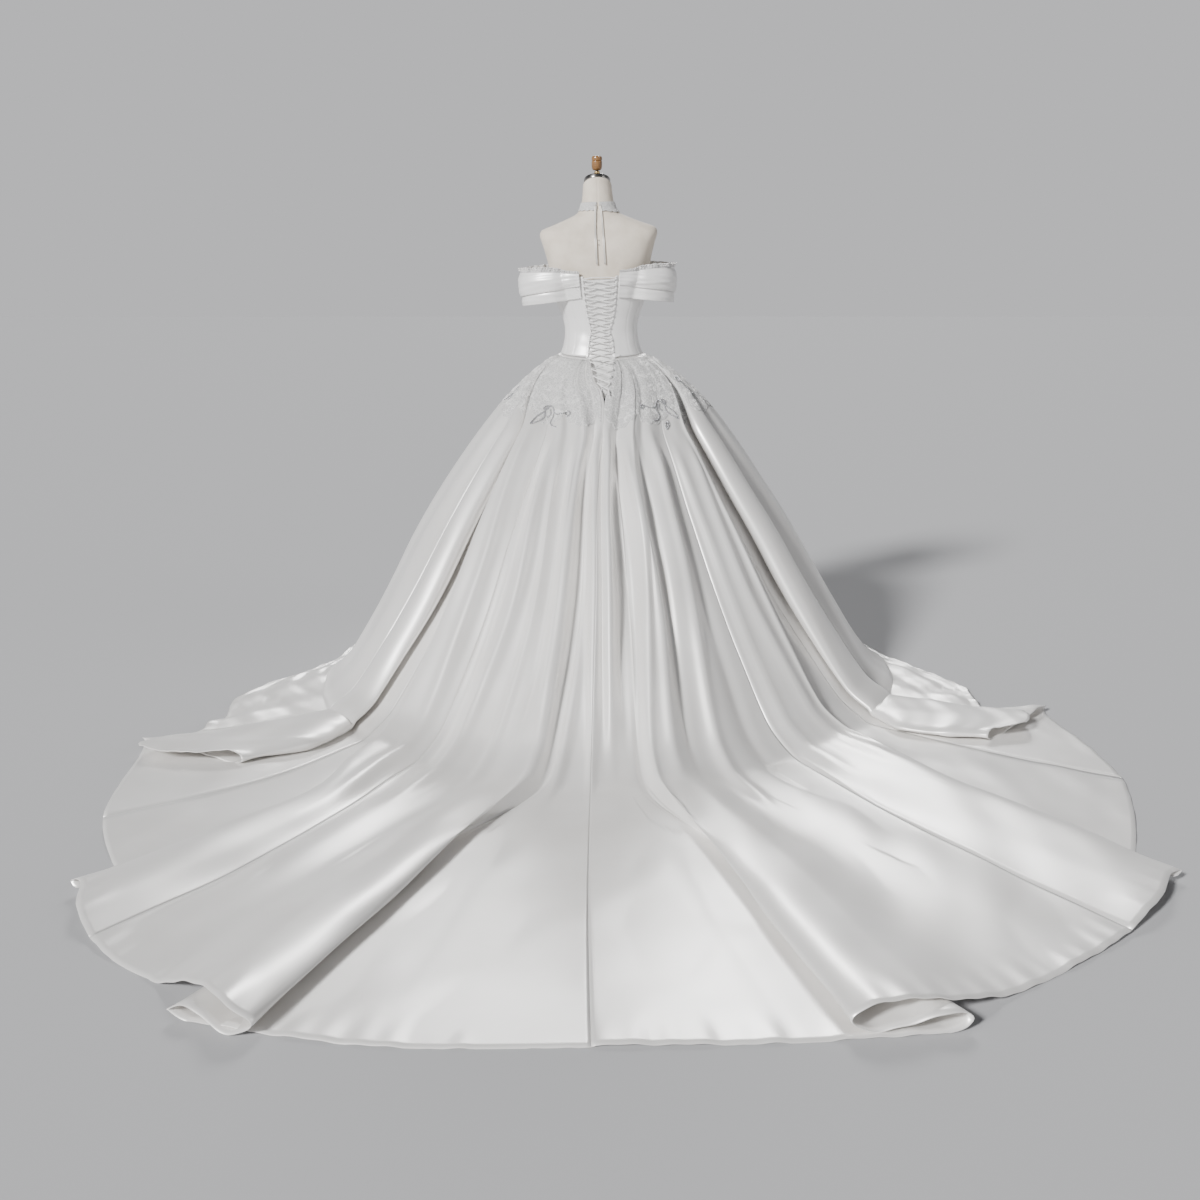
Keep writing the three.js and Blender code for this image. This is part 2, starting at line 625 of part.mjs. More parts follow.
// The skirt's middle surface: radius and height, and which way is square out of it
function skirtBase(azimuth, v, landRadius, reach) {
  const start = waistRadius(azimuth);
  const top = waistLow(azimuth) - WAIST_GAP;
  const at = (share) => {
    const onFloor = Math.max(share - 1, 0);
    const radius = mix(start, landRadius, profileShare(share)) + (reach - landRadius) * onFloor;
    const left = Math.max((LANDING_END - share) / (LANDING_END - LANDING_START), 0);
    const height = share > LANDING_START ? top * (1 - LANDING_START) * left * left : top * (1 - share);
    return new THREE.Vector2(radius, height);
  };
  const step = 0.004;
  const along = at(Math.min(v + step, 2)).sub(at(Math.max(v - step, 0))).normalize();
  return { here: at(v), square: new THREE.Vector2(-along.y, along.x) };
}

// A point of the skirt on a fold line: the middle surface, moved out square to it by the fold
function skirtPoint(line, v) {
  const azimuth = line.azimuth(v);
  const landRadius = floorRadius(v > 1 ? line.azimuth(1) : azimuth);
  const { here, square } = skirtBase(azimuth, v, landRadius, line.reach);
  here.addScaledVector(square, line.out(v));
  const height = here.y + (CLOTH / 2) * smoothStep(v * 1.2);
  const x = here.x * Math.sin(azimuth * DEGREE);
  const y = -here.x * Math.cos(azimuth * DEGREE);
  const point = new THREE.Vector3(x, y, Math.max(height, CLOTH / 2));
  if (Math.abs(azimuth) < SLIT_PUSH) {
    const gap = line.left ? -slitLeft(point.z) : slitRight(point.z);
    point.x += (gap + slitMiddle(point.z)) * (1 - Math.abs(azimuth) / SLIT_PUSH);
  }
  return lean(point);
}

// Rows of the skirt, as shares of the way down, and the widths over which a column is added
const SKIRT_ROWS = [0, 0.03, 0.08, 0.131, 0.21, 0.34, 0.5, 0.67, 0.82, 0.92, 1, 1.1, 1.3, 1.62, 2];
const SLOPE_ROW = 6;
const FLOOR_ROW = 13;
const WIDE_ON_SLOPE = 72;
const WIDE_ON_FLOOR = 130;
const SLIT_ROWS = 3;

// Gores: each runs from one named fold line to the next, round from the centre back by the right
const GORES = table(['name', 'side', 'line'], [
  ['skirt_train_right', 'right', 'back_seam'],
  ['skirt_back_right', 'right', 'back_hollow'],
  ['skirt_side_back_right', 'right', 'underlay'],
  ['skirt_side_front_right', 'right', 'side_notch'],
  ['skirt_front', 'right', 'front_3'],
  ['skirt_side_front_left', 'left', 'front_3'],
  ['skirt_side_back_left', 'left', 'side_notch'],
  ['skirt_back_left', 'left', 'underlay'],
  ['skirt_train_left', 'left', 'back_hollow'],
]);

function buildSkirt() {
  const right = sideLines(RIGHT_FOLDS, 1).map((line) => ({ ...line, side: 'right' }));
  const left = sideLines(LEFT_FOLDS, -1).map((line) => ({ ...line, side: 'left', left: true }));
  const lines = [...right, FRONT_LINE, ...left.reverse()];
  const last = lines.length - 1;
  const sections = SKIRT_ROWS.map((v) => lines.map((line) => skirtPoint(line, v)));
  const closed = (r) => r >= SLIT_ROWS;
  const stops = [];
  for (let i = 0; i < last; i += 1) {
    stops.push(i);
    const onFloor = sections[FLOOR_ROW][i].distanceTo(sections[FLOOR_ROW][i + 1]);
    const onSlope = sections[SLOPE_ROW][i].distanceTo(sections[SLOPE_ROW][i + 1]);
    if (onFloor > WIDE_ON_FLOOR || onSlope > WIDE_ON_SLOPE) stops.push(i + 0.5);
  }
  stops.push(last);
  const grid = sections.map((points, r) => stops.map((stop) => {
    const p = spline(points, stop, closed(r));
    return p.setZ(Math.max(p.z, CLOTH / 2));
  }));
  const faces = clothFaces(grid, CLOTH, { onFloor: true, levelTop: true, closed });
  const starts = GORES.map(({ side, line }) => {
    const found = lines.findIndex((one) => one.side === side && one.name === line);
    return stops.indexOf(found);
  });
  GORES.forEach(({ name }, i) => {
    const end = i + 1 < starts.length ? starts[i + 1] : stops.length - 1;
    const part = (rows) => rows.map((row) => row.slice(starts[i], end + 1).map((p) => p.clone()));
    const gore = { outer: part(faces.outer), inner: part(faces.inner) };
    trimSeams(gore);
    add(name, clothWall(gore), SATIN);
  });
}

// Moves both edge columns of a cloth back by half the seam gap
function trimSeams({ outer, inner }) {
  const last = outer[0].length - 1;
  outer.forEach((row, r) => {
    for (const [edge, next] of [[0, 1], [last, last - 1]]) {
      const inward = new THREE.Vector3().subVectors(row[next], row[edge]);
      inward.add(inner[r][next]).sub(inner[r][edge]).setLength(SEAM_GAP / 2);
      row[edge].add(inward);
      inner[r][edge].add(inward);
    }
  });
}

// A point on the gown's back: over the form above the waist seam, over the skirt's slit below it
function backPoint(x, z, formOut, skirtOut, blend = 1) {
  if (z > WAIST_SEAM) return formPoint(angleAtX(x, z), z, formOut);
  const top = waistLow(0) - WAIST_GAP;
  const v = Math.max(1 - z / top, 0);
  const { here, square } = skirtBase(0, v, floorRadius(0), 0);
  const radius = here.x + square.x * skirtOut;
  const height = here.y + square.y * skirtOut;
  const below = new THREE.Vector3(x, -Math.sqrt(Math.max(radius * radius - x * x, 1)), height);
  const above = formPoint(angleAtX(x, z), z, formOut);
  return above.lerp(below, smoothStep((WAIST_SEAM - z) / blend));
}

// The modesty panel behind the laced opening, from the bodice's top down inside the slit
const PANEL = table(['z', 'left', 'right'], [
  [1290, -62, 60],
  [1262, -61, 58],
  [1234, -59, 56],
  [1206, -56, 53],
  [1180, -52, 49],
  [1156, -48, 43],
  [1127, -43, 35],
  [1100, -48, 42],
  [1074, -51, 46],
  [WAIST, -53, 48],
  [1026, -50, 45],
  [1002, -46, 42],
  [978, -34, 34],
  [950, -16, 30],
  [922, -10, 26],
]);
const PANEL_ON_FORM = 1.7;
const PANEL_IN_SLIT = -12;
const PANEL_BLEND = 60;

function buildPanel() {
  const columns = 5;
  const grid = PANEL.map(({ z, left, right }) => {
    const row = [];
    for (let c = 0; c <= columns; c += 1) {
      const x = mix(left, right, c / columns);
      row.push(lean(backPoint(x, z, PANEL_ON_FORM, PANEL_IN_SLIT, PANEL_BLEND)));
    }
    return row;
  });
  add('modesty_panel', clothWall(clothFaces(grid, THIN_CLOTH)), SATIN);
}

// Loop strips: narrow facings on the opening's edges, carrying the loops for the lace
const STRIP_WIDTH = 7;
const STRIP_OUT = BODICE_CLEAR + CLOTH + SEAM_GAP + THIN_CLOTH / 2;
function buildLoopStrips() {
  for (const [word, side] of [['left', -1], ['right', 1]]) {
    const grid = gridOf(BODICE_ROWS, 1, (u, v) => {
      const z = bodiceHeight(LACE_ANGLE, v);
      const edge = side < 0 ? openingLeft(z) : openingRight(z);
      const away = mix(0, STRIP_WIDTH, side < 0 ? 1 - u : u);
      return lean(formPoint(angleAtX(edge + side * away, z), z, STRIP_OUT));
    });
    add(`loop_strip_${word}`, clothWall(clothFaces(grid, THIN_CLOTH, { levelTop: true })), SATIN);
  }
}

// The lace: one cord, crossed from edge to edge from the top bar down to the end of the slit
const LACE_TOP = 1290;
const LACE_STEP = 19;
const LACE_ROWS = 18;
const LACE_INSET = 3.5;
const LACE_AT_EDGE = 10.8;
const LACE_LOW = 5;
const LACE_HIGH = 9.8;
const LACE_OVER_SLIT = 4.5;
const LACE_END = 14;
const CORD_SIDES = 4;
function buildLace() {
  const edgeX = (row, side) => {
    const z = LACE_TOP - row * LACE_STEP;
    if (z > WAIST) return (side < 0 ? openingLeft(z) : openingRight(z)) + side * LACE_INSET;
    return (side < 0 ? -slitLeft(z) : slitRight(z)) + slitMiddle(z) + side * LACE_INSET;
  };
  const place = (x, z, out) => {
    const lift = Math.max(1 - Math.abs(z - WAIST_SEAM) / 16, 0) * 2.4;
    return lean(backPoint(x, z, out + lift, out - BODICE_CLEAR + LACE_OVER_SLIT, 14));
  };
  const strand = (firstSide) => {
    const points = [];
    for (let row = 0; row < LACE_ROWS; row += 1) {
      const side = row % 2 === 0 ? firstSide : -firstSide;
      const from = edgeX(row, side);
      const to = edgeX(row + 1, -side);
      const z = LACE_TOP - row * LACE_STEP;
      const over = (row % 2 === 0) === (firstSide < 0);
      const middle = over ? LACE_HIGH : LACE_LOW;
      points.push(place(from, z, LACE_AT_EDGE));
      points.push(place(mix(from, to, 0.25), z - LACE_STEP * 0.27, mix(LACE_AT_EDGE, middle, 0.6)));
      points.push(place(mix(from, to, 0.5), z - LACE_STEP * 0.5, middle));
      points.push(place(mix(from, to, 0.75), z - LACE_STEP * 0.73, mix(LACE_AT_EDGE, middle, 0.6)));
    }
    const z = LACE_TOP - LACE_ROWS * LACE_STEP;
    const side = LACE_ROWS % 2 === 0 ? firstSide : -firstSide;
    points.push(place(edgeX(LACE_ROWS, side), z, LACE_AT_EDGE));
    points.push(place(edgeX(LACE_ROWS, side) + side * 2, z - LACE_END, LACE_AT_EDGE + 1));
    return points;
  };
  const bar = [0.25, 0.5, 0.75].map((share) => {
    const x = mix(edgeX(0, -1), edgeX(0, 1), share);
    return place(x, LACE_TOP + 5, LACE_LOW + 3);
  });
  const path = [...strand(-1).reverse(), ...bar, ...strand(1)];
  add('lacing', cordAlong(path, CORD_RADIUS, CORD_SIDES), CORD);
}

// A round cord through a row of points, with flat ends
function cordAlong(path, radius, sides) {
  const rings = path.map((point, i) => {
    const ahead = path[Math.min(i + 1, path.length - 1)];
    const behind = path[Math.max(i - 1, 0)];
    const along = new THREE.Vector3().subVectors(ahead, behind).normalize();
    const outward = new THREE.Vector3(point.x * 0.3, -1, 0).normalize();
    const across = new THREE.Vector3().crossVectors(along, outward).normalize();
    const up = new THREE.Vector3().crossVectors(across, along).normalize();
    const ring = [];
    for (let k = 0; k < sides; k += 1) {
      const turn = (k / sides) * 2 * Math.PI;
      const p = point.clone().addScaledVector(across, radius * Math.cos(turn));
      ring.push(p.addScaledVector(up, radius * Math.sin(turn)));
    }
    return ring;
  });
  return ringSolid(rings);
}

// Path of the off-shoulder bands from the laced edge, round the arm, to the centre front: on the
// form at an angle, or free of it at a place in plan
const BAND_PATH = table(['angle', 'x', 'y'], [
  ['lace', 0, 0],
  [31, 0, 0],
  [44, 0, 0],
  [null, 150, -77],
  [null, 194, -65],
  [null, 228, -38],
  [null, 240, 0],
  [null, 228, 42],
  [null, 194, 72],
  [null, 158, 86],
  [135, 0, 0],
  [150, 0, 0],
  [165, 0, 0],
  ['front', 0, 0],
]);
const BAND_LOOP = 240;
const BAND_LEAVES = 150;
const BAND_FROM_OPENING = 10;
const BAND_EDGE = table(['at', 'top', 'fold', 'low'], [
  [0, 1308, 1270, 1232],
  [2, 1313, 1262, 1226],
  [4, 1318, 1250, 1216],
  [6, 1318, 1240, 1210],
  [8, 1324, 1246, 1214],
  [10, 1334, 1260, 1220],
  [11.5, 1346, 1266, 1222],
  [13, 1328, 1254, 1216],
]);
const bandTop = columnOf(BAND_EDGE, 'at', 'top');
const bandFold = columnOf(BAND_EDGE, 'at', 'fold');
const bandLow = columnOf(BAND_EDGE, 'at', 'low');

function bandPoint(side, at, z, out) {
  const reach = side < 0 ? ARM_LOOP_LEFT : ARM_LOOP_RIGHT;
  const stretch = (reach - BAND_LEAVES) / (BAND_LOOP - BAND_LEAVES);
  const stations = BAND_PATH.map(({ angle, x, y }) => {
    if (angle === null) return new THREE.Vector3(BAND_LEAVES + (x - BAND_LEAVES) * stretch, y, z);
    if (angle === 'front') return new THREE.Vector3(SEAM_GAP / 2, formPoint(180, z).y, z);
    const start = (side < 0 ? -openingLeft(z) : openingRight(z)) + BAND_FROM_OPENING;
    return formPoint(angle === 'lace' ? angleAtX(start, z) : angle, z);
  });
  const here = spline(stations, at);
  const step = 0.05;
  const ahead = spline(stations, Math.min(at + step, stations.length - 1));
  const along = ahead.sub(spline(stations, Math.max(at - step, 0))).setZ(0).normalize();
  if (at > stations.length - 1 - step) along.set(-1, 0, 0);
  const point = new THREE.Vector3(here.x + along.y * out, here.y - along.x * out, z);
  return lean(point.setX(point.x * side));
}

const BAND_COLUMNS = 24;
const LOWER_OUT = 9.6;
const UPPER_OUT = 13.8;
const TUCK = 18;
function buildBands() {
  const last = BAND_PATH.length - 1;
  const swell = (at) => smoothStep(at / 1.5) * smoothStep((last - at) / 1.5);
  const band = (side, rows, top, low, out, bulge) => gridOf(rows, BAND_COLUMNS, (u, v) => {
    const at = (side < 0 ? 1 - u : u) * last;
    const z = mix(top(at), low(at), v);
    return bandPoint(side, at, z, out + bulge * swell(at) * Math.sin(v * Math.PI) ** 0.7);
  });
  for (const [word, side] of [['left', -1], ['right', 1]]) {
    const upper = band(side, 4, bandTop, bandFold, UPPER_OUT, 8);
    add(`sleeve_upper_${word}`, clothWall(clothFaces(upper, CLOTH, { levelTop: true })), SATIN);
    const lower = band(side, 3, (at) => bandFold(at) + TUCK, bandLow, LOWER_OUT, 2);
    add(`sleeve_lower_${word}`, clothWall(clothFaces(lower, CLOTH)), SATIN);
  }
}

// Lace trims: ruffled edgings sewn to the upper bands' top edges, flat near the laced opening
const TRIM_WAVES = 12;
const TRIM_WAVE = 3.4;
const TRIM_STAND = 15;
const TRIM_FLAT_SHARE = 0.5;
function buildTrims() {
  const last = BAND_PATH.length - 1;
  const columns = TRIM_WAVES * 4;
  const step = last / BAND_COLUMNS;
  const bandEdge = (at) => {
    const before = Math.min(Math.floor(at / step + 0.001), BAND_COLUMNS - 1) * step;
    return mix(bandTop(before), bandTop(before + step), (at - before) / step);
  };
  for (const [word, side] of [['left', -1], ['right', 1]]) {
    const grid = gridOf(1, columns, (u, v) => {
      const at = (side < 0 ? 1 - u : u) * last;
      const loose = mix(0.15, 1, smoothStep((at - 0.6) / 1.8));
      const stand = 1 - v;
      const z = bandEdge(at) + SEAM_GAP + stand * TRIM_STAND * mix(TRIM_FLAT_SHARE, 1, loose);
      const wave = Math.sin((at / last) * TRIM_WAVES * 2 * Math.PI) * TRIM_WAVE * loose * stand;
      return bandPoint(side, at, z, UPPER_OUT + wave + stand * loose);
    });
    add(`lace_trim_${word}`, clothWall(clothFaces(grid, THIN_CLOTH)), LACE);
  }
}

// Choker: a lace band round the neck with a scalloped edge, open at the nape where its ties start
const CHOKER_GAP = 4;
const CHOKER_SCALLOPS = 18;
function buildChoker() {
  const grid = gridOf(2, CHOKER_SCALLOPS * 2, (u, v) => {
    const angle = mix(CHOKER_GAP, 360 - CHOKER_GAP, u);
    const scallop = Math.abs(Math.sin(u * CHOKER_SCALLOPS * Math.PI)) * 3;
    const z = mix(1529, 1505 - scallop, v);
    return lean(formPoint(angle, z, 1.8 + CLOTH / 2));
  });
  add('choker', clothWall(clothFaces(grid, CLOTH, { levelTop: true })), LACE);
}

// Nape ties: two flat ribbon tails that hang from the choker down the form's back
const TIE_PATH = table(['z', 'left', 'right'], [
  [1520, -6, 6],
  [1500, -8, 9],
  [1480, -9, 11],
  [1462, -10, 13],
  [1444, -10, 14],
  [1420, -10, 15],
  [1392, -9, 16],
  [1364, -9, 17],
  [1336, -8, 18],
]);
const TIE_WIDTH = 6;
const TIE_OUT = 5;
function buildTies() {
  for (const word of ['left', 'right']) {
    const grid = TIE_PATH.map((row) => [-1, 1].map((edge) => {
      const x = row[word] + (edge * TIE_WIDTH) / 2;
      return lean(formPoint(angleAtX(x, row.z), row.z, TIE_OUT));
    }));
    add(`nape_tie_${word}`, clothWall(clothFaces(grid, THIN_CLOTH)), CORD);
  }
}

buildStand();
buildForm();
buildFinial();
buildBodice();
buildSkirt();
buildPanel();
buildLoopStrips();
buildLace();
buildBands();
buildTrims();
buildChoker();
buildTies();

export default gown;
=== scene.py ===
import math

import bpy
import numpy as np
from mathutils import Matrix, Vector
from mathutils.bvhtree import BVHTree


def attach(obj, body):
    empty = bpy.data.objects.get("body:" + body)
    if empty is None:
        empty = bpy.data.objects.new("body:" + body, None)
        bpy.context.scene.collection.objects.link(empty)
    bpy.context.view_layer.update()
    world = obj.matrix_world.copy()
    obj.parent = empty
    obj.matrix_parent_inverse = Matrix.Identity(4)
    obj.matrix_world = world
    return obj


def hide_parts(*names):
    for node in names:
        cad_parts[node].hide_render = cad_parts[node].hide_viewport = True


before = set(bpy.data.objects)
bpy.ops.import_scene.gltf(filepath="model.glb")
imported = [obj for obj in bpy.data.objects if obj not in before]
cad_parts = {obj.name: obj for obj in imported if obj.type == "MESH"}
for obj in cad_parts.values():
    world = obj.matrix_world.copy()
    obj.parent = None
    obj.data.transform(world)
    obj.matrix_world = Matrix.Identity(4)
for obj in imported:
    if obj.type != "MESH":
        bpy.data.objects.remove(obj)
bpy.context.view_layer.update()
MM = 0.001

# Camera: the photograph's own place, 4.6 m behind the gown at 1.35 m, tilted down to the train.
# The photograph is 1200 px square with a focal length of 1380 px.
PHOTO_WIDTH_PX = 1200
PHOTO_FOCAL_PX = 1380
SENSOR_MM = 36
CAMERA_PLACE = (0.0032, -4.6, 1.35)
CAMERA_TILT_DOWN = 13.85
FLOOR_SIZE = 60

photo_camera = bpy.data.objects.new("photo_camera", bpy.data.cameras.new("photo_camera"))
bpy.context.scene.collection.objects.link(photo_camera)
photo_camera.location = CAMERA_PLACE
photo_camera.rotation_euler = (math.radians(90 - CAMERA_TILT_DOWN), 0, 0)
photo_camera.data.sensor_width = SENSOR_MM
photo_camera.data.lens = SENSOR_MM * PHOTO_FOCAL_PX / PHOTO_WIDTH_PX
photo_camera.data.clip_end = FLOOR_SIZE
bpy.context.scene.camera = photo_camera


# Studio: a plain pale floor that meets the air without an edge. A soft light from the left
# draws the folds, one from behind makes the satin shine, and a weak one opens the shadows.
def new_finish(name, color, roughness):
    """A material of one colour and roughness, to which patterns are then added."""
    finish = bpy.data.materials.new(name)
    finish.use_nodes = True
    shader = finish.node_tree.nodes["Principled BSDF"]
    shader.inputs["Base Color"].default_value = (*color, 1)
    shader.inputs["Roughness"].default_value = roughness
    return finish


def node(finish, kind, **settings):
    """A shader node with its inputs or its own settings given by name."""
    made = finish.node_tree.nodes.new(kind)
    for key, value in settings.items():
        if key in made.inputs:
            made.inputs[key].default_value = value
        else:
            setattr(made, key, value)
    return made


def link(finish, source, target):
    finish.node_tree.links.new(source, target)


def shader_of(finish):
    return finish.node_tree.nodes["Principled BSDF"]


def deselect_all():
    bpy.ops.object.select_all(action="DESELECT")


FLOOR_TONE = (0.44, 0.44, 0.45)
deselect_all()
bpy.ops.mesh.primitive_plane_add(size=FLOOR_SIZE, location=(0, 0, 0))
floor = bpy.context.object
floor.name = "studio_floor"
floor.data.materials.append(new_finish("floor_paper", FLOOR_TONE, 0.9))

# Each lamp's name, where its light comes from, how soft it is in degrees, and its strength
STUDIO_LAMPS = [
    ("key_left", (-3.0, -3.6, 2.7), 9, 5.65),
    ("fill_right", (4.0, -2.0, 2.0), 25, 0.32),
    ("rear_shine", (0.2, 4.0, 2.5), 16, 1.35),
]
for lamp_name, comes_from, soft_angle, power in STUDIO_LAMPS:
    lamp = bpy.data.objects.new(lamp_name, bpy.data.lights.new(lamp_name, "SUN"))
    bpy.context.scene.collection.objects.link(lamp)
    lamp.data.angle = math.radians(soft_angle)
    lamp.data.energy = power
    across_floor = math.hypot(comes_from[0], comes_from[1])
    turned = math.atan2(comes_from[0], -comes_from[1])
    lamp.rotation_euler = (math.atan2(across_floor, comes_from[2]), 0, turned)

AIR_AT_HORIZON = (0.625, 0.625, 0.64)
AIR_OVERHEAD = (0.100, 0.103, 0.108)
HORIZON_TO = 0.17
OVERHEAD_FROM = 0.4
studio_air = bpy.data.worlds.new("studio_air")
studio_air.use_nodes = True
air_tree = studio_air.node_tree
air_place = air_tree.nodes.new("ShaderNodeTexCoord")
air_height = air_tree.nodes.new("ShaderNodeSeparateXYZ")
air_tone = air_tree.nodes.new("ShaderNodeValToRGB")
low_air, high_air = air_tone.color_ramp.elements
low_air.color = (*AIR_AT_HORIZON, 1)
low_air.position = HORIZON_TO
high_air.color = (*AIR_OVERHEAD, 1)
high_air.position = OVERHEAD_FROM
air_tree.links.new(air_place.outputs["Generated"], air_height.inputs["Vector"])
air_tree.links.new(air_height.outputs["Z"], air_tone.inputs["Fac"])
air_tree.links.new(air_tone.outputs["Color"], air_tree.nodes["Background"].inputs["Color"])
bpy.context.scene.world = studio_air


# Stand: a heavy round foot with a raised boss and a straight pole, in dark brushed steel. Both
# are turned metal, so the solids keep their shape and take a brushed finish.
def assign_finish(node_name, finish):
    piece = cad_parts[node_name]
    piece.data.materials.clear()
    piece.data.materials.append(finish)


def object_place(finish):
    """Where on the object a pattern is read."""
    return node(finish, "ShaderNodeTexCoord").outputs["Object"]


def noise_on(finish, place, **settings):
    """A noise pattern read at the given place."""
    noise = node(finish, "ShaderNodeTexNoise", **settings)
    link(finish, place, noise.inputs["Vector"])
    return noise.outputs["Fac"]


def stretched(finish, place, scale):
    mapping = node(finish, "ShaderNodeMapping", Scale=scale)
    link(finish, place, mapping.inputs["Vector"])
    return mapping.outputs["Vector"]


def gloss_between(finish, pattern, smooth, rough):
    """Roughness from a pattern."""
    spread = node(finish, "ShaderNodeMapRange")
    spread.inputs["To Min"].default_value = smooth
    spread.inputs["To Max"].default_value = rough
    link(finish, pattern, spread.inputs["Value"])
    link(finish, spread.outputs["Result"], shader_of(finish).inputs["Roughness"])


def raised_by(finish, pattern, strength, height, over=None):
    """Relief from a pattern, on top of another relief if one is given."""
    relief = node(finish, "ShaderNodeBump", Strength=strength, Distance=height)
    link(finish, pattern, relief.inputs["Height"])
    if over is not None:
        link(finish, over.outputs["Normal"], relief.inputs["Normal"])
    link(finish, relief.outputs["Normal"], shader_of(finish).inputs["Normal"])
    return relief


def brushed(name, color, roughness, grain):
    """Metal with fine brush marks along one direction and faint smudges."""
    finish = new_finish(name, color, roughness)
    shader_of(finish).inputs["Metallic"].default_value = 1
    place = stretched(finish, object_place(finish), grain)
    marks = noise_on(finish, place, Scale=60.0, Detail=6.0)
    gloss_between(finish, marks, roughness * 0.75, roughness * 1.35)
    raised_by(finish, marks, 0.15, 0.0004)
    return finish


DARK_STEEL = (0.42, 0.41, 0.40)
dark_steel = brushed("dark_brushed_steel", DARK_STEEL, 0.3, (1, 1, 14))
assign_finish("stand_foot", dark_steel)
assign_finish("stand_pole", dark_steel)


# Dress form: a padded torso and neck covered in beige linen, cut off at the hips and arms, with
# a centre back seam. It leans a little on its pole, and the gown's top goes with it.
# The form's sections: height, half width, depth behind and ahead, the middle's Y, squareness
FORM_SECTIONS = [
    (790, 160, 112, 98, 0, 2.2),
    (870, 171, 124, 104, 0, 2.2),
    (960, 160, 118, 102, 0, 2.2),
    (1040, 136, 100, 94, 0, 2.2),
    (1083, 119, 88, 88, 0, 2.2),
    (1130, 113, 80, 86, 0, 2.2),
    (1160, 117, 80, 90, 0, 2.2),
    (1207, 134, 86, 106, 0, 2.3),
    (1255, 149, 94, 128, 0, 2.4),
    (1300, 158, 99, 132, 0, 2.5),
    (1350, 167, 102, 116, 0, 2.8),
    (1400, 180, 96, 92, 0, 3.0),
    (1432, 189, 82, 74, 0, 3.0),
    (1446, 184, 72, 66, 0, 2.8),
    (1462, 145, 64, 58, 1, 2.4),
    (1480, 100, 58, 52, 3, 2.2),
    (1497, 66, 53, 50, 5, 2.0),
    (1515, 55, 50, 50, 7, 2.0),
    (1545, 49, 48, 48, 11, 2.0),
    (1588, 45, 45, 45, 16, 2.0),
]
FORM_BOTTOM = 790
NECK_RIM = 1580
NECK_TOP = 1588
NECK_SLANT = 0.42
NECK_MIDDLE = 16
LEAN_PER_MM = 0.028
LEAN_PIVOT = 1380
LEAN_FROM = 600
LEAN_RUN = 450
SHOULDER_TILT = 0.033
WAIST = 1050
TILT_RUN = 250
TURN_STEP = 0.5


def curve(knots, values):
    """Monotone cubic through a table's column, so that it never overshoots its rows."""
    knots = np.array(knots, float)
    values = np.array(values, float)
    secants = np.diff(values) / np.diff(knots)
    slopes = np.zeros(len(knots))
    slopes[0] = secants[0]
    slopes[-1] = secants[-1]
    before = secants[:-1]
    after = secants[1:]
    even = before * after > 0
    slopes[1:-1][even] = 2 * before[even] * after[even] / (before[even] + after[even])

    def at(x):
        x = np.clip(x, knots[0], knots[-1])
        i = np.clip(np.searchsorted(knots, x, side="right") - 1, 0, len(knots) - 2)
        span = knots[i + 1] - knots[i]
        s = (x - knots[i]) / span
        ends = (1 + 2 * s) * (1 - s) ** 2 * values[i] + s * s * (3 - 2 * s) * values[i + 1]
        turns = s * (1 - s) ** 2 * slopes[i] - s * s * (1 - s) * slopes[i + 1]
        return ends + span * turns

    return at


def column_of(rows, column):
    return curve([row[0] for row in rows], [row[column] for row in rows])


def smooth_step(x):
    s = np.clip(x, 0, 1)
    return s * s * (3 - 2 * s)


def mix(a, b, s):
    return a + (b - a) * s


form_width = column_of(FORM_SECTIONS, 1)
form_back = column_of(FORM_SECTIONS, 2)
form_front = column_of(FORM_SECTIONS, 3)
form_middle = column_of(FORM_SECTIONS, 4)
form_square = column_of(FORM_SECTIONS, 5)


def lean(points):
    """Moves points with the form, which leans to one side and lifts one shoulder."""
    z = points[..., 2]
    held = smooth_step((z - LEAN_FROM) / LEAN_RUN)
    tilt = smooth_step((z - WAIST) / TILT_RUN)
    moved = points.copy()
    moved[..., 0] += (LEAN_PIVOT - z) * LEAN_PER_MM * held
    moved[..., 2] += points[..., 0] * SHOULDER_TILT * tilt
    return moved


def form_point(angle, z, out=0.0):
    """A point on the form's section at a height, moved out square to the section."""
    angle, z, out = np.broadcast_arrays(np.asarray(angle, float), np.asarray(z, float), out)
    power = 2 / form_square(z)

    def section(turn):
        s = np.sin(np.radians(turn))
        c = np.cos(np.radians(turn))
        depth = np.where(c > 0, form_back(z), form_front(z))
        x = np.sign(s) * form_width(z) * np.abs(s) ** power
        y = form_middle(z) - np.sign(c) * depth * np.abs(c) ** power
        return x, y

    x, y = section(angle)
    ahead_x, ahead_y = section(angle + TURN_STEP)
    behind_x, behind_y = section(angle - TURN_STEP)
    along_x = ahead_x - behind_x
    along_y = ahead_y - behind_y
    length = np.hypot(along_x, along_y)
    return np.stack([x + along_y / length * out, y - along_x / length * out, z], -1)


def angle_at_x(x, z):
    """The section angle at which the form's back has a given X."""
    share = np.minimum(np.abs(x) / form_width(z), 1)
    return np.degrees(np.arcsin(share ** (form_square(z) / 2))) * np.sign(x)


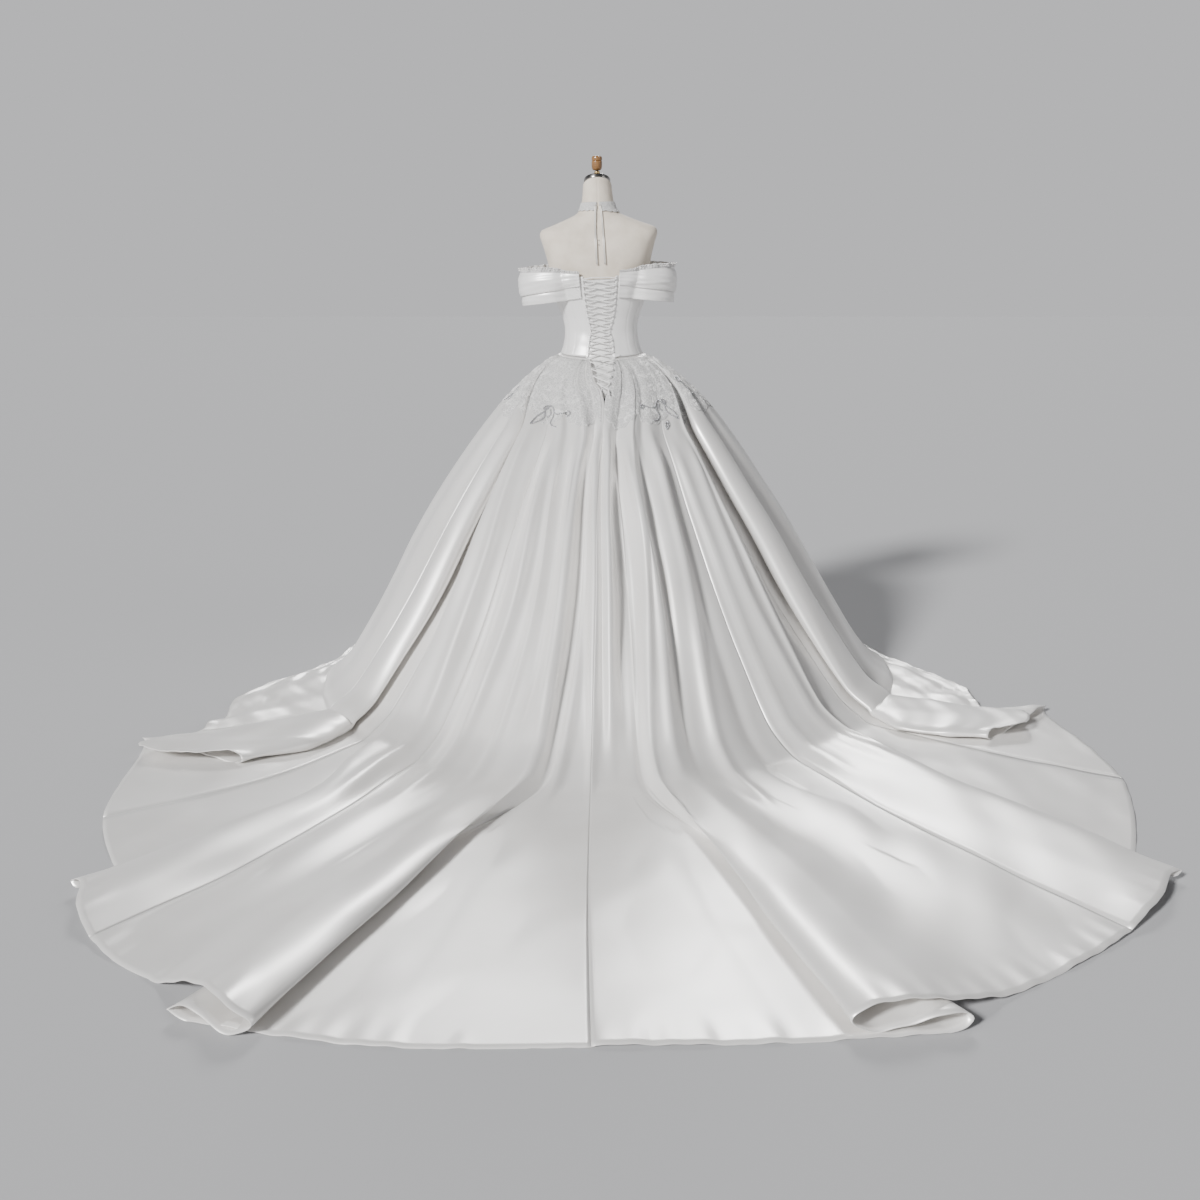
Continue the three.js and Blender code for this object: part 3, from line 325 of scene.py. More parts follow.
def add_piece(name, corners, faces, finish, cut=None):
    """A smooth mesh in metres from corners in millimetres, with the cloth's cut as its UV map."""
    mesh = bpy.data.meshes.new(name)
    mesh.from_pydata((np.asarray(corners) * MM).tolist(), [], faces)
    mesh.update()
    mesh.polygons.foreach_set("use_smooth", np.ones(len(mesh.polygons), bool))
    if cut is not None:
        corner_of_loop = np.zeros(len(mesh.loops), np.int32)
        mesh.loops.foreach_get("vertex_index", corner_of_loop)
        layer = mesh.uv_layers.new(name="cut")
        layer.data.foreach_set("uv", np.asarray(cut, np.float32)[corner_of_loop].ravel())
    mesh.materials.append(finish)
    piece = bpy.data.objects.new(name, mesh)
    bpy.context.scene.collection.objects.link(piece)
    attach(piece, "root")
    return piece


def ring_faces(rings, sides):
    """Quads between closed rings of points, and a fan's worth of triangles at either end."""
    faces = []
    for r in range(rings - 1):
        for i in range(sides):
            j = (i + 1) % sides
            a = r * sides
            faces.append((a + i, a + j, a + sides + j, a + sides + i))
    faces.append(tuple(range(sides))[::-1])
    faces.append(tuple(range((rings - 1) * sides, rings * sides)))
    return faces


def tone_between(finish, pattern, low, high, low_at=0.0, high_at=1.0):
    """Colours the finish by a pattern, from one tone to the other."""
    ramp = node(finish, "ShaderNodeValToRGB")
    stops = ramp.color_ramp.elements
    for stop, tone, place in zip(stops, (low, high), (low_at, high_at)):
        stop.color = (*tone, 1)
        stop.position = place
    link(finish, pattern, ramp.inputs["Fac"])
    link(finish, ramp.outputs["Color"], shader_of(finish).inputs["Base Color"])


LINEN_SHADE = (0.66, 0.585, 0.485)
LINEN_LIGHT = (0.74, 0.665, 0.565)
linen = new_finish("beige_linen", LINEN_LIGHT, 0.85)
shader_of(linen).inputs["Sheen Weight"].default_value = 0.2
linen_slubs = noise_on(linen, object_place(linen), Scale=26.0, Detail=5.0)
linen_threads = noise_on(linen, object_place(linen), Scale=900.0, Detail=2.0)
tone_between(linen, linen_slubs, LINEN_SHADE, LINEN_LIGHT, 0.35, 0.65)
raised_by(linen, linen_threads, 0.4, 0.0005)

FORM_SIDES = 120
FORM_STEP = 7
SEAM_DEPTH = 1.2
SEAM_WIDTH = 1.6
SLANT_FROM = 1532
LOWER_ROLL = [(0, -8), (1, -4), (3, -1.4)]
NECK_ROLL = [(4, -1.2), (7, -4), (8, -9)]
form_turn = np.arange(FORM_SIDES) * 360 / FORM_SIDES
form_rings = []
rim_rings = [(FORM_BOTTOM + rise, out) for rise, out in LOWER_ROLL]
body_rings = [(z, 0) for z in np.arange(FORM_BOTTOM + FORM_STEP, NECK_RIM, FORM_STEP)]
for ring_height, ring_out in [*rim_rings, *body_rings, (NECK_RIM, 0)]:
    bare = form_point(form_turn, ring_height)
    groove = SEAM_DEPTH * np.exp(-((bare[:, 0] / SEAM_WIDTH) ** 2)) * (bare[:, 1] < NECK_MIDDLE)
    ring = form_point(form_turn, ring_height, ring_out - groove)
    slant = smooth_step((ring_height - SLANT_FROM) / (NECK_RIM - SLANT_FROM)) * NECK_SLANT
    ring[:, 2] = ring_height - slant * (ring[:, 1] - NECK_MIDDLE)
    form_rings.append(lean(ring))
for ring_rise, ring_out in NECK_ROLL:
    ring = form_point(form_turn, NECK_RIM, ring_out)
    ring[:, 2] = NECK_RIM + ring_rise - NECK_SLANT * (ring[:, 1] - NECK_MIDDLE)
    form_rings.append(lean(ring))
form_faces = ring_faces(len(form_rings), FORM_SIDES)
form_body = add_piece("form_body", np.concatenate(form_rings), form_faces, linen)
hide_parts("form_torso")


# Neck cap and finial: a dark steel cap on the slanted neck, a turned brass stem and a bullet
# of lacquered wood with a groove round it. All three are turned pieces.
CREASE_ANGLE = 35


def turned_piece(name, profile, base, tilt, finish, sides=48):
    """Turned round its own axis: a disc, drawn up through the profile's radii and heights."""
    deselect_all()
    radius, height = profile[0]
    bpy.ops.mesh.primitive_circle_add(
        vertices=sides, radius=radius * MM, fill_type="NGON", location=(0, 0, height * MM)
    )
    piece = bpy.context.object
    piece.name = name
    bpy.ops.object.mode_set(mode="EDIT")
    bpy.ops.mesh.select_all(action="SELECT")
    for next_radius, next_height in profile[1:]:
        rise = (next_height - height) * MM
        bpy.ops.mesh.extrude_region_move(TRANSFORM_OT_translate={"value": (0, 0, rise)})
        bpy.ops.transform.resize(
            value=(next_radius / radius, next_radius / radius, 1),
            center_override=(0, 0, next_height * MM),
        )
        radius, height = next_radius, next_height
    bpy.ops.mesh.select_all(action="SELECT")
    bpy.ops.mesh.normals_make_consistent(inside=False)
    bpy.ops.object.mode_set(mode="OBJECT")
    piece.rotation_euler = (-tilt, 0, 0)
    foot = lean(np.array([[base[0], base[1], base[2]]], float))[0]
    piece.location = (foot[0] * MM, foot[1] * MM, foot[2] * MM)
    bpy.ops.object.transform_apply(location=True, rotation=True, scale=True)
    bpy.ops.object.shade_smooth_by_angle(angle=math.radians(CREASE_ANGLE))
    piece.data.materials.append(finish)
    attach(piece, "root")
    return piece


def rounded_profile(corners, steps=4, cut=0.3):
    """The profile's corners, each cut to a small even curve."""
    rounded = [corners[0]]
    for before, corner, after in zip(corners, corners[1:], corners[2:]):
        for step in range(steps + 1):
            s = step / steps
            start = [mix(c, b, cut) for c, b in zip(corner, before)]
            end = [mix(c, a, cut) for c, a in zip(corner, after)]
            rounded.append(
                tuple(
                    (1 - s) ** 2 * p + 2 * s * (1 - s) * q + s * s * r
                    for p, q, r in zip(start, corner, end)
                )
            )
    return [*rounded, corners[-1]]


NECK_TILT = math.atan(NECK_SLANT)
SEAT_GAP = 0.3
CAP_SEAT = NECK_TOP + SEAT_GAP
CAP_HEIGHT = 13
STEM_HEIGHT = 23
STEM_RISE = 16
STEM_MIDDLE = NECK_MIDDLE + CAP_HEIGHT * math.sin(NECK_TILT)
cap_steel = brushed("neck_cap_steel", (0.30, 0.29, 0.28), 0.22, (1, 9, 1))
CAP_PROFILE = [(40, 0), (42.5, 1.5), (42.5, 12), (40, 15), (16, 16), (10.5, 16.2), (2, 16.5)]
neck_cap = turned_piece(
    "neck_cap", rounded_profile(CAP_PROFILE), (0, NECK_MIDDLE, CAP_SEAT), NECK_TILT, cap_steel
)
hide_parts("neck_plate")
old_brass = brushed("turned_brass", (0.62, 0.44, 0.20), 0.3, (1, 1, 30))
STEM_PROFILE = [(6.8, 0), (7, 1), (7, 9), (8.8, 12), (9, 16), (8.8, 20), (6, 22.4), (2, 23)]
brass_stem = turned_piece(
    "brass_stem",
    rounded_profile(STEM_PROFILE),
    (0, STEM_MIDDLE, CAP_SEAT + STEM_RISE),
    0,
    old_brass,
)
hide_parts("finial_stem")

WOOD_SHADE = (0.15, 0.065, 0.018)
WOOD_LIGHT = (0.31, 0.155, 0.052)
knob_wood = new_finish("lacquered_wood", WOOD_LIGHT, 0.35)
shader_of(knob_wood).inputs["Coat Weight"].default_value = 0.5
shader_of(knob_wood).inputs["Coat Roughness"].default_value = 0.15
along_knob = stretched(knob_wood, object_place(knob_wood), (1, 1, 0.12))
wood_grain = noise_on(knob_wood, along_knob, Scale=420.0, Detail=5.0, Distortion=0.8)
tone_between(knob_wood, wood_grain, WOOD_SHADE, WOOD_LIGHT, 0.3, 0.7)
KNOB_PROFILE = [(9, 0), (12, 0.5), (15.5, 5), (17, 13), (17, 28), (14.6, 29.5), (17, 31)]
KNOB_PROFILE += [(17, 38), (16, 42), (12, 44.6), (3, 45)]
knob = turned_piece(
    "wooden_knob",
    rounded_profile(KNOB_PROFILE),
    (0, STEM_MIDDLE, CAP_SEAT + STEM_RISE + STEM_HEIGHT + SEAT_GAP),
    0,
    knob_wood,
)
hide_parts("finial_knob")


# Bodice: five boned satin panels fitted to the form, open down the back between two edges that
# the lace draws together. Cut in satin, sewn edge to edge, with a topstitched princess line.
CLOTH = 1.2
SOLID_CLOTH = 2
OFF_FLOOR = 0.05
SEAM_GAP = 0.3
BODICE_CLEAR = 3.6
BODICE_OUT = BODICE_CLEAR + SOLID_CLOTH / 2
# The bodice's edges: angle, top and lower edge
BODICE_EDGE = [
    (0, 1298, 1042),
    (35, 1300, 1047),
    (90, 1292, 1054),
    (130, 1322, 1048),
    (158, 1338, 1040),
    (180, 1318, 1036),
]
# The laced opening: height, left edge and right edge
OPENING = [
    (1040, -43, 35),
    (1095, -37, 31),
    (1127, -31, 23),
    (1150, -35, 30),
    (1200, -44, 41),
    (1250, -49, 46),
    (1300, -52, 50),
]
LACE_ANGLE = 24
bodice_top = column_of(BODICE_EDGE, 1)
bodice_low = column_of(BODICE_EDGE, 2)
opening_left = column_of(OPENING, 1)
opening_right = column_of(OPENING, 2)


def normals_of(grid, closed=None):
    """Square out of the cloth at each point of its grid. 'closed' marks rows that come round."""
    down = np.empty_like(grid)
    down[1:-1] = grid[2:] - grid[:-2]
    down[0] = grid[1] - grid[0]
    down[-1] = grid[-1] - grid[-2]
    across = np.empty_like(grid)
    across[:, 1:-1] = grid[:, 2:] - grid[:, :-2]
    across[:, 0] = grid[:, 1] - grid[:, 0]
    across[:, -1] = grid[:, -1] - grid[:, -2]
    if closed is not None:
        round_back = grid[closed, 1] - grid[closed, -2]
        across[closed, 0] = round_back
        across[closed, -1] = round_back
    square = np.cross(down, across)
    return square / np.maximum(np.linalg.norm(square, axis=-1, keepdims=True), 1e-9)


def cloth_piece(name, grid, finish, thickness=CLOTH, square=None, cut=None, on_floor=False):
    """A thin closed shell of cloth either side of a grid of points."""
    rows, columns = grid.shape[:2]
    square = normals_of(grid) if square is None else square
    outer = grid + square * thickness / 2
    inner = grid - square * thickness / 2
    if on_floor:
        outer[..., 2] = np.maximum(outer[..., 2], thickness)
        inner[..., 2] = np.maximum(inner[..., 2], OFF_FLOOR)
    number = np.arange(rows * columns).reshape(rows, columns)
    a = number[:-1, :-1].ravel()
    b = number[1:, :-1].ravel()
    c = number[1:, 1:].ravel()
    d = number[:-1, 1:].ravel()
    back = rows * columns
    faces = np.concatenate([np.stack([a, b, c, d], 1), np.stack([a, d, c, b], 1) + back])
    rim = np.concatenate([number[0], number[1:, -1], number[-1, -2::-1], number[-2:0:-1, 0]])
    after = np.roll(rim, -1)
    faces = np.concatenate([faces, np.stack([rim, after, after + back, rim + back], 1)])
    corners = np.concatenate([outer.reshape(-1, 3), inner.reshape(-1, 3)])
    if cut is None:
        step_across = np.linalg.norm(np.diff(grid, axis=1), axis=-1).mean(axis=0)
        step_down = np.linalg.norm(np.diff(grid, axis=0), axis=-1).mean(axis=1)
        u = np.concatenate([[0], np.cumsum(step_across)]) * MM
        v = np.concatenate([[0], np.cumsum(step_down)]) * MM
        cut = np.stack(np.meshgrid(u, -v), -1)
    cut = cut.reshape(-1, 2)
    piece = add_piece(name, corners, faces.tolist(), finish, np.concatenate([cut, cut]))
    smooth = np.arange(len(faces)) < len(faces) - len(rim)
    piece.data.polygons.foreach_set("use_smooth", smooth)
    return piece


def satin_finish(name, shade, light, wrinkle, shine=0.3):
    """Ivory satin: soft sheen, faint uneven dye, a fine weave and shallow press wrinkles."""
    finish = new_finish(name, light, 0.36)
    shader = shader_of(finish)
    shader.inputs["Sheen Weight"].default_value = 0.12
    shader.inputs["Sheen Roughness"].default_value = 0.4
    shader.inputs["Specular IOR Level"].default_value = 0.7
    shader.inputs["Anisotropic"].default_value = 0.3
    shader.inputs["Metallic"].default_value = shine
    shader.inputs["Coat Weight"].default_value = shine * 0.8
    shader.inputs["Coat Roughness"].default_value = 0.3
    on_cut = node(finish, "ShaderNodeUVMap", uv_map="cut").outputs["UV"]
    along_cut = stretched(finish, on_cut, (1, 0.22, 1))
    ripples = noise_on(finish, along_cut, Scale=24.0, Detail=4.0, Roughness=0.5)
    dye = noise_on(finish, object_place(finish), Scale=5.0, Detail=3.0)
    weave = noise_on(finish, object_place(finish), Scale=1400.0, Detail=1.0)
    tone_between(finish, dye, shade, light, 0.3, 0.7)
    gloss_between(finish, ripples, 0.30, 0.44)
    woven = raised_by(finish, weave, 0.06, 0.0002)
    raised_by(finish, ripples, wrinkle, 0.003, over=woven)
    return finish


def dip(distance, width):
    """A soft groove's depth, 1 on its line."""
    return np.exp(-((distance / width) ** 2))


# Each panel's first and last angle, and its cut: width, length and area in metres
BODICE_PANELS = [
    ("bodice_back_left", -62, "lace", (0.110, 0.260, 0.0235)),
    ("bodice_back_right", "lace", 62, (0.115, 0.260, 0.025)),
    ("bodice_side_left", -112, -62, (0.104, 0.256, 0.0245)),
    ("bodice_side_right", 62, 112, (0.104, 0.256, 0.025)),
    ("bodice_front", 112, 248, (0.340, 0.305, 0.090)),
]
PRINCESS_LINES = (-42, 42, -88, 88, 152, 208)
BODICE_ROWS = 44
FRONT_COLUMNS = 90
PANEL_COLUMNS = 40
PRINCESS_SINK = 0.7
PRINCESS_WIDTH = 2.2
EDGE_SINK = 0.3
EDGE_WIDTH = 2
STRAIN = 0.5
STRAIN_LENGTH = 9.0
STRAIN_TOP = 1150
STRAIN_FADE = 80
STRAIN_LOW = 1060
STRAIN_LOW_FADE = 30
BODICE_SHADE = (0.84, 0.825, 0.81)
BODICE_LIGHT = (0.89, 0.88, 0.865)
bodice_satin = satin_finish("bodice_satin", BODICE_SHADE, BODICE_LIGHT, 0.1, 0.16)
for panel_name, panel_from, panel_to, (cut_wide, cut_long, cut_area) in BODICE_PANELS:
    first_angle = LACE_ANGLE if panel_from == "lace" else panel_from
    last_angle = -LACE_ANGLE if panel_to == "lace" else panel_to
    columns = FRONT_COLUMNS if panel_name == "bodice_front" else PANEL_COLUMNS
    u, v = np.meshgrid(np.linspace(0, 1, columns), np.linspace(0, 1, BODICE_ROWS))
    rough_angle = mix(first_angle, last_angle, u)
    rough_angle = np.abs(np.where(rough_angle > 180, 360 - rough_angle, rough_angle))
    z = mix(bodice_top(rough_angle), bodice_low(rough_angle), v)
    gap_angle = np.degrees(SEAM_GAP / form_width(z))
    edge_from = angle_at_x(opening_right(z), z) if panel_from == "lace" else panel_from + gap_angle
    edge_to = angle_at_x(opening_left(z), z) if panel_to == "lace" else panel_to - gap_angle
    angle = mix(edge_from, edge_to, u)
    across = form_width(z) * math.radians(1)
    sewn = sum(dip((angle - line) * across, PRINCESS_WIDTH) for line in PRINCESS_LINES)
    rolled = dip(u * columns, EDGE_WIDTH) + dip((1 - u) * columns, EDGE_WIDTH)
    strain = STRAIN * np.sin(z / STRAIN_LENGTH + np.radians(angle) * 3)
    strain *= smooth_step((STRAIN_TOP - z) / STRAIN_FADE)
    strain *= smooth_step((z - STRAIN_LOW) / STRAIN_LOW_FADE)
    out = BODICE_OUT - PRINCESS_SINK * sewn - EDGE_SINK * rolled + strain
    panel = cloth_piece(panel_name + "_cloth", lean(form_point(angle, z, out)), bodice_satin)
    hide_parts(panel_name)


# Skirt: nine flared satin gores sewn edge to edge. It hangs from the waist seam in deep knife
# pleats, breaks on the floor and spreads into a train, where two pleats stand up as loops.
# Where the skirt comes down to the floor: azimuth and distance from the pole
FLOOR_LINE = [
    (-180, 800),
    (-120, 815),
    (-90, 866),
    (-68, 934),
    (-50, 1000),
    (-30, 1060),
    (-18, 1125),
    (-8, 1165),
    (8, 1165),
    (18, 1130),
    (30, 1070),
    (50, 1020),
    (68, 990),
    (90, 955),
    (120, 865),
    (180, 800),
]
# The skirt's outline, as shares: how far down, and how far out from the waist to the landing
SKIRT_PROFILE = [
    (0, 0),
    (0.03, 0.07),
    (0.145, 0.228),
    (0.447, 0.51),
    (0.786, 0.778),
    (0.94, 0.918),
    (1, 1),
]
LANDING_START = 0.93
LANDING_END = 1.07
STATIONS = (0, 0.22, 0.57, 0.98, 1.4, 2)
OUT_STATIONS = (0, 0.22, 0.57, 0.98, 2)
floor_radius = column_of(FLOOR_LINE, 1)
profile_share = column_of(SKIRT_PROFILE, 1)

# Fold lines from the centre back to each side: how a pleat turns there, azimuths from the waist
# to the hem, heights over the skirt's middle surface, and the hem's distance from the pole
LEFT_FOLDS = [
    ("back_seam", "", -0.1, -0.4, -0.4, -1, -0.8, -0.3, 5, 18, 3, 0, 2426),
    ("train_floor", "", -6, -2.2, -2.1, -3.6, -7.2, -9.4, -4, -9, 1, 0, 2456),
    ("train_under", "under", -12, -3.9, -3.7, -6.4, -14.2, -18.8, -14, -32, 0, 0, 2462),
    ("train_over", "over", -25, -7.6, -7.2, -8.6, -12.3, -14.5, 10, 20, 34, 52, 2478),
    ("train_cover", "", -29, -11, -10, -11.8, -16, -17.4, 3, 2, 22, 52, 2424),
    ("train_beside", "", -34, -15.2, -13.6, -15.6, -19.4, -21.6, -7, -13, 3, 4, 2358),
    ("back_crest_one", "", -42, -18.6, -19.6, -21.6, -22.6, -24.7, 6, 11, 10, 2, 2322),
    ("back_hollow", "", -50, -26, -25, -26.5, -25.2, -27, -5, -9, 2, 8, 2284),
    ("back_crest_two", "", -59, -32, -30, -31, -27.4, -29.4, 12, 18, 28, 30, 2232),
    ("pleat_over", "over", -68, -39, -36.5, -36.5, -30.4, -32.6, 20, 28, 34, 36, 2148),
    ("pleat_under", "under", -69.5, -35.4, -32.6, -33, -28.3, -30.8, -26, -34, 0, 0, 2040),
    ("underlay", "", -71, -40, -39, -39.5, -38, -41.5, -32, -40, 0, 0, 1862),
    ("side_under", "under", -72.5, -45, -45.4, -48, -51, -57.6, -26, -34, 0, 0, 1556),
    ("side_over", "over", -74, -40.6, -41.7, -44, -41.4, -43.4, 12, 16, 32, 34, 1424),
    ("side_flare", "", -76, -46, -46, -47, -47, -48.6, 26, 34, 40, 34, 1532),
    ("side_tip", "", -78, -51, -50, -51.5, -52, -53.6, 14, 16, 34, 34, 1600),
    ("side_notch", "", -80, -57, -56, -56, -56, -56.6, -10, -12, 4, 3, 1400),
    ("side_crest", "", -83, -66, -65, -62, -60, -58.6, 10, 14, 14, 12, 1356),
    ("side_dip", "", -86, -74, -73, -69, -64, -60.6, 8, 12, 6, 2, 1300),
    ("side_corner", "", -90, -84, -84, -79, -73, -69, 22, 30, 16, 6, 1222),
]
RIGHT_FOLDS = [
    ("back_seam", "", 0.1, -0.4, -0.4, -1, -0.8, -0.3, 5, 18, 3, 0, 2426),
    ("back_roll", "", 8, 2.6, 2.6, 2.2, 4.6, 7, 4, 14, 3, 1, 2434),
    ("train_under", "under", 16, 6, 6.6, 5.6, 11.4, 15.9, -18, -38, 0, 0, 2464),
    ("train_over", "over", 27, 12.4, 10.6, 7.4, 9.3, 10.8, 12, 20, 34, 58, 2436),
    ("train_cover", "", 31, 14.6, 12.6, 11.2, 13.6, 14.6, 4, 8, 26, 50, 2428),
    ("train_beside", "", 36, 17, 14.6, 15, 17.6, 19.4, -4, -6, 3, 4, 2382),
    ("back_crest_one", "", 45, 21, 18.8, 20, 22.6, 24.7, 5, 10, 8, 3, 2326),
    ("back_hollow", "", 54, 29, 28, 29, 28, 28.8, -3, -7, 2, 6, 2284),
    ("back_crest_two", "", 60, 35, 35, 35.5, 33, 32.6, 8, 14, 24, 28, 2240),
    ("pleat_over", "over", 66, 40.5, 41, 41.5, 38.4, 36.8, 16, 24, 32, 34, 2180),
    ("pleat_under", "under", 68, 43.4, 44.6, 42.5, 35.6, 34.2, -14, -24, 0, 0, 2090),
    ("underlay", "", 70, 47.6, 49.6, 50, 50, 51, -28, -38, 0, 0, 1800),
    ("side_under", "under", 71.5, 54, 56, 58, 61, 68.4, -24, -34, 0, 0, 1480),
    ("side_over", "over", 73, 50.8, 52.6, 52.6, 48.8, 53, 10, 14, 30, 34, 1400),
    ("side_flare", "", 75, 57, 58.4, 57.4, 56, 58, 22, 30, 36, 40, 1470),
    ("side_tip", "", 77.5, 62, 63, 62, 61.4, 62.8, 12, 14, 30, 34, 1432),
    ("side_notch", "", 80, 67, 68, 66, 65, 64.8, -8, -8, 6, 3, 1318),
    ("side_crest", "", 84, 74, 75, 71, 68.6, 67.4, 14, 24, 16, 10, 1276),
    ("side_dip", "", 87, 81, 82, 77, 73, 70, 10, 16, 8, 3, 1254),
    ("side_corner", "", 91, 90, 91, 86, 79.4, 74, 20, 28, 14, 6, 1228),
]
FRONT_FOLDS = 5
FRONT_RIDGE = 22
FRONT_HOLLOW = -16
FRONT_EVEN = 0.8
FRONT_UNEVEN = 0.35
FRONT_UNEVEN_TURN = 2.3
FRONT_HEM_ON_FLOOR = 55
FRONT_OUTS = (14, 20, 5, 4)


def fold_line(name, azimuths, outs, reach):
    """One line that a fold follows: its azimuth and its height at each share of the way down."""
    return {
        "name": name,
        "azimuth": curve(STATIONS, azimuths),
        "out": curve(OUT_STATIONS, [0, *outs]),
        "reach": reach,
    }


TURN_WIDTH = 1
LEAST_TURN = 0.25
TURN_OPENS = 0.3
FULL_OVERLAP = 3.2
UNDER_RISE = (0, 0.4, 0.74)
OVER_DROP = (0.84, 0.42, 0)
ROUNDING = 0.16


def knife_pleat(first, second, first_turn, side):
    """The cloth turns under at one line and over at the other. While the two stand side by side
    it is a plain wave, and where they pass each other the cloth lies in three."""
    under_first = first_turn == "under"
    under = first if under_first else second
    over = second if under_first else first
    travel = side if under_first else -side

    def passed(v):
        return travel * (under["azimuth"](v) - over["azimuth"](v))

    def folded(v):
        return np.clip(passed(v) / FULL_OVERLAP, -1, 1)

    def width(v):
        return travel * TURN_WIDTH * np.minimum(1, LEAST_TURN + TURN_OPENS * np.abs(passed(v)))

    def rise(v):
        return over["out"](v) - under["out"](v)

    def share(v, part, place):
        flat = np.maximum(folded(v), 0)
        return part * flat + (0 if place == 0 else ROUNDING) * (1 - flat)

    def under_line(place, part):
        def azimuth(v):
            return under["azimuth"](v) + width(v) * (-folded(v) if place == 1 else place)

        def out(v):
            return under["out"](v) + rise(v) * share(v, part, place)

        return {"name": "turn", "azimuth": azimuth, "out": out, "reach": under["reach"]}

    def over_line(place, part):
        def azimuth(v):
            return over["azimuth"](v) + width(v) * (folded(v) if place == -1 else place)

        def out(v):
            return over["out"](v) - rise(v) * share(v, part, place)

        return {"name": "turn", "azimuth": azimuth, "out": out, "reach": over["reach"]}

    lines = [under_line(place, part) for place, part in zip((-1, 0, 1), UNDER_RISE)]
    lines += [over_line(place, part) for place, part in zip((-1, 0, 1), OVER_DROP)]
    return lines if under_first else lines[::-1]


def side_lines(folds, side):
    """Every fold line of one side, from the centre back to the last before the centre front."""
    plain = [fold_line(fold[0], fold[2:8], fold[8:12], fold[12]) for fold in folds]
    lines = []
    for i, fold in enumerate(folds):
        if fold[1] and not folds[i - 1][1]:
            lines += knife_pleat(plain[i], plain[i + 1], fold[1], side)
        if not fold[1]:
            lines.append(plain[i])
    corner = folds[-1]
    steps = FRONT_FOLDS * 2
    for i in range(1, steps):
        share = i / steps
        azimuth = mix(corner[4], side * 180, share)
        hem = mix(corner[7], side * 180, share**0.75)
        height = FRONT_RIDGE if i % 2 == 0 else FRONT_HOLLOW
        height *= FRONT_EVEN + FRONT_UNEVEN * math.sin(i * FRONT_UNEVEN_TURN + side)
        waist = mix(corner[2], side * 180, share)
        azimuths = [waist, azimuth, azimuth, mix(azimuth, hem, 0.4), mix(azimuth, hem, 0.7), hem]
        outs = [height * 0.7, height, max(height * 0.25, 0), max(height * 0.2, 0)]
        reach = floor_radius(hem) + FRONT_HEM_ON_FLOOR
        lines.append(fold_line(f"front_{i}", azimuths, outs, reach))
    for line in lines:
        line["side"] = side
    return lines


front_reach = floor_radius(180) + FRONT_HEM_ON_FLOOR
front_line = fold_line("front", [180] * len(STATIONS), FRONT_OUTS, front_reach)
front_line["side"] = 1
SLIT_END = 912
# The slit below the waist seam: height, half widths to the left and right, and its middle
SLIT = [
    (760, 0, 0, 0),
    (SLIT_END, 0, 0, 8),
    (950, 8, 8, 8),
    (982, 24, 22, 1),
    (1010, 32, 31, 0),
    (1050, 41, 37, 0),
]
SLIT_PUSH = 30
WAIST_GAP = 0.8
WAIST_STEP = 5.0
SQUARE_STEP = 0.004
slit_left = column_of(SLIT, 1)
slit_right = column_of(SLIT, 2)
slit_middle = column_of(SLIT, 3)

ring_angle = np.arange(-180, 181, WAIST_STEP)
ring_low = bodice_low(np.abs(ring_angle))
ring_place = form_point(ring_angle, ring_low, BODICE_OUT)
ring_azimuth = np.degrees(np.arctan2(ring_place[:, 0], -ring_place[:, 1]))
ring_azimuth[[0, -1]] = (-180, 180)
waist_radius = curve(ring_azimuth, np.hypot(ring_place[:, 0], ring_place[:, 1]))
waist_low = curve(ring_azimuth, ring_low)


def skirt_base(azimuth, v, land_radius, reach):
    """The skirt's middle surface: radius, height, and which way is square out of it."""
    start = waist_radius(azimuth)
    top = waist_low(azimuth) - WAIST_GAP

    def at(share):
        on_floor = np.maximum(share - 1, 0)
        radius = mix(start, land_radius, profile_share(share)) + (reach - land_radius) * on_floor
        left = np.maximum((LANDING_END - share) / (LANDING_END - LANDING_START), 0)
        landing = top * (1 - LANDING_START) * left * left
        return radius, np.where(share > LANDING_START, landing, top * (1 - share))

    ahead = at(np.minimum(v + SQUARE_STEP, STATIONS[-1]))
    behind = at(np.maximum(v - SQUARE_STEP, 0))
    run = ahead[0] - behind[0]
    fall = ahead[1] - behind[1]
    length = np.hypot(run, fall)
    return *at(v), -fall / length, run / length


def skirt_points(line, v):
    """Points down one fold line, before the form's lean."""
    azimuth = line["azimuth"](v)
    land_radius = floor_radius(np.where(v > 1, line["azimuth"](1.0), azimuth))
    radius, height, square_out, square_up = skirt_base(azimuth, v, land_radius, line["reach"])
    radius = radius + square_out * line["out"](v)
    height = height + square_up * line["out"](v) + SOLID_CLOTH / 2 * smooth_step(v * 1.2)
    height = np.maximum(height, SOLID_CLOTH / 2)
    x = radius * np.sin(np.radians(azimuth))
    y = -radius * np.cos(np.radians(azimuth))
    near_slit = np.maximum(1 - np.abs(azimuth) / SLIT_PUSH, 0)
    gap = slit_right(height) if line["side"] > 0 else -slit_left(height)
    x = x + (gap + slit_middle(height)) * near_slit
    return np.stack([x, y, height], -1)


SHORT_CHORD = 0.1


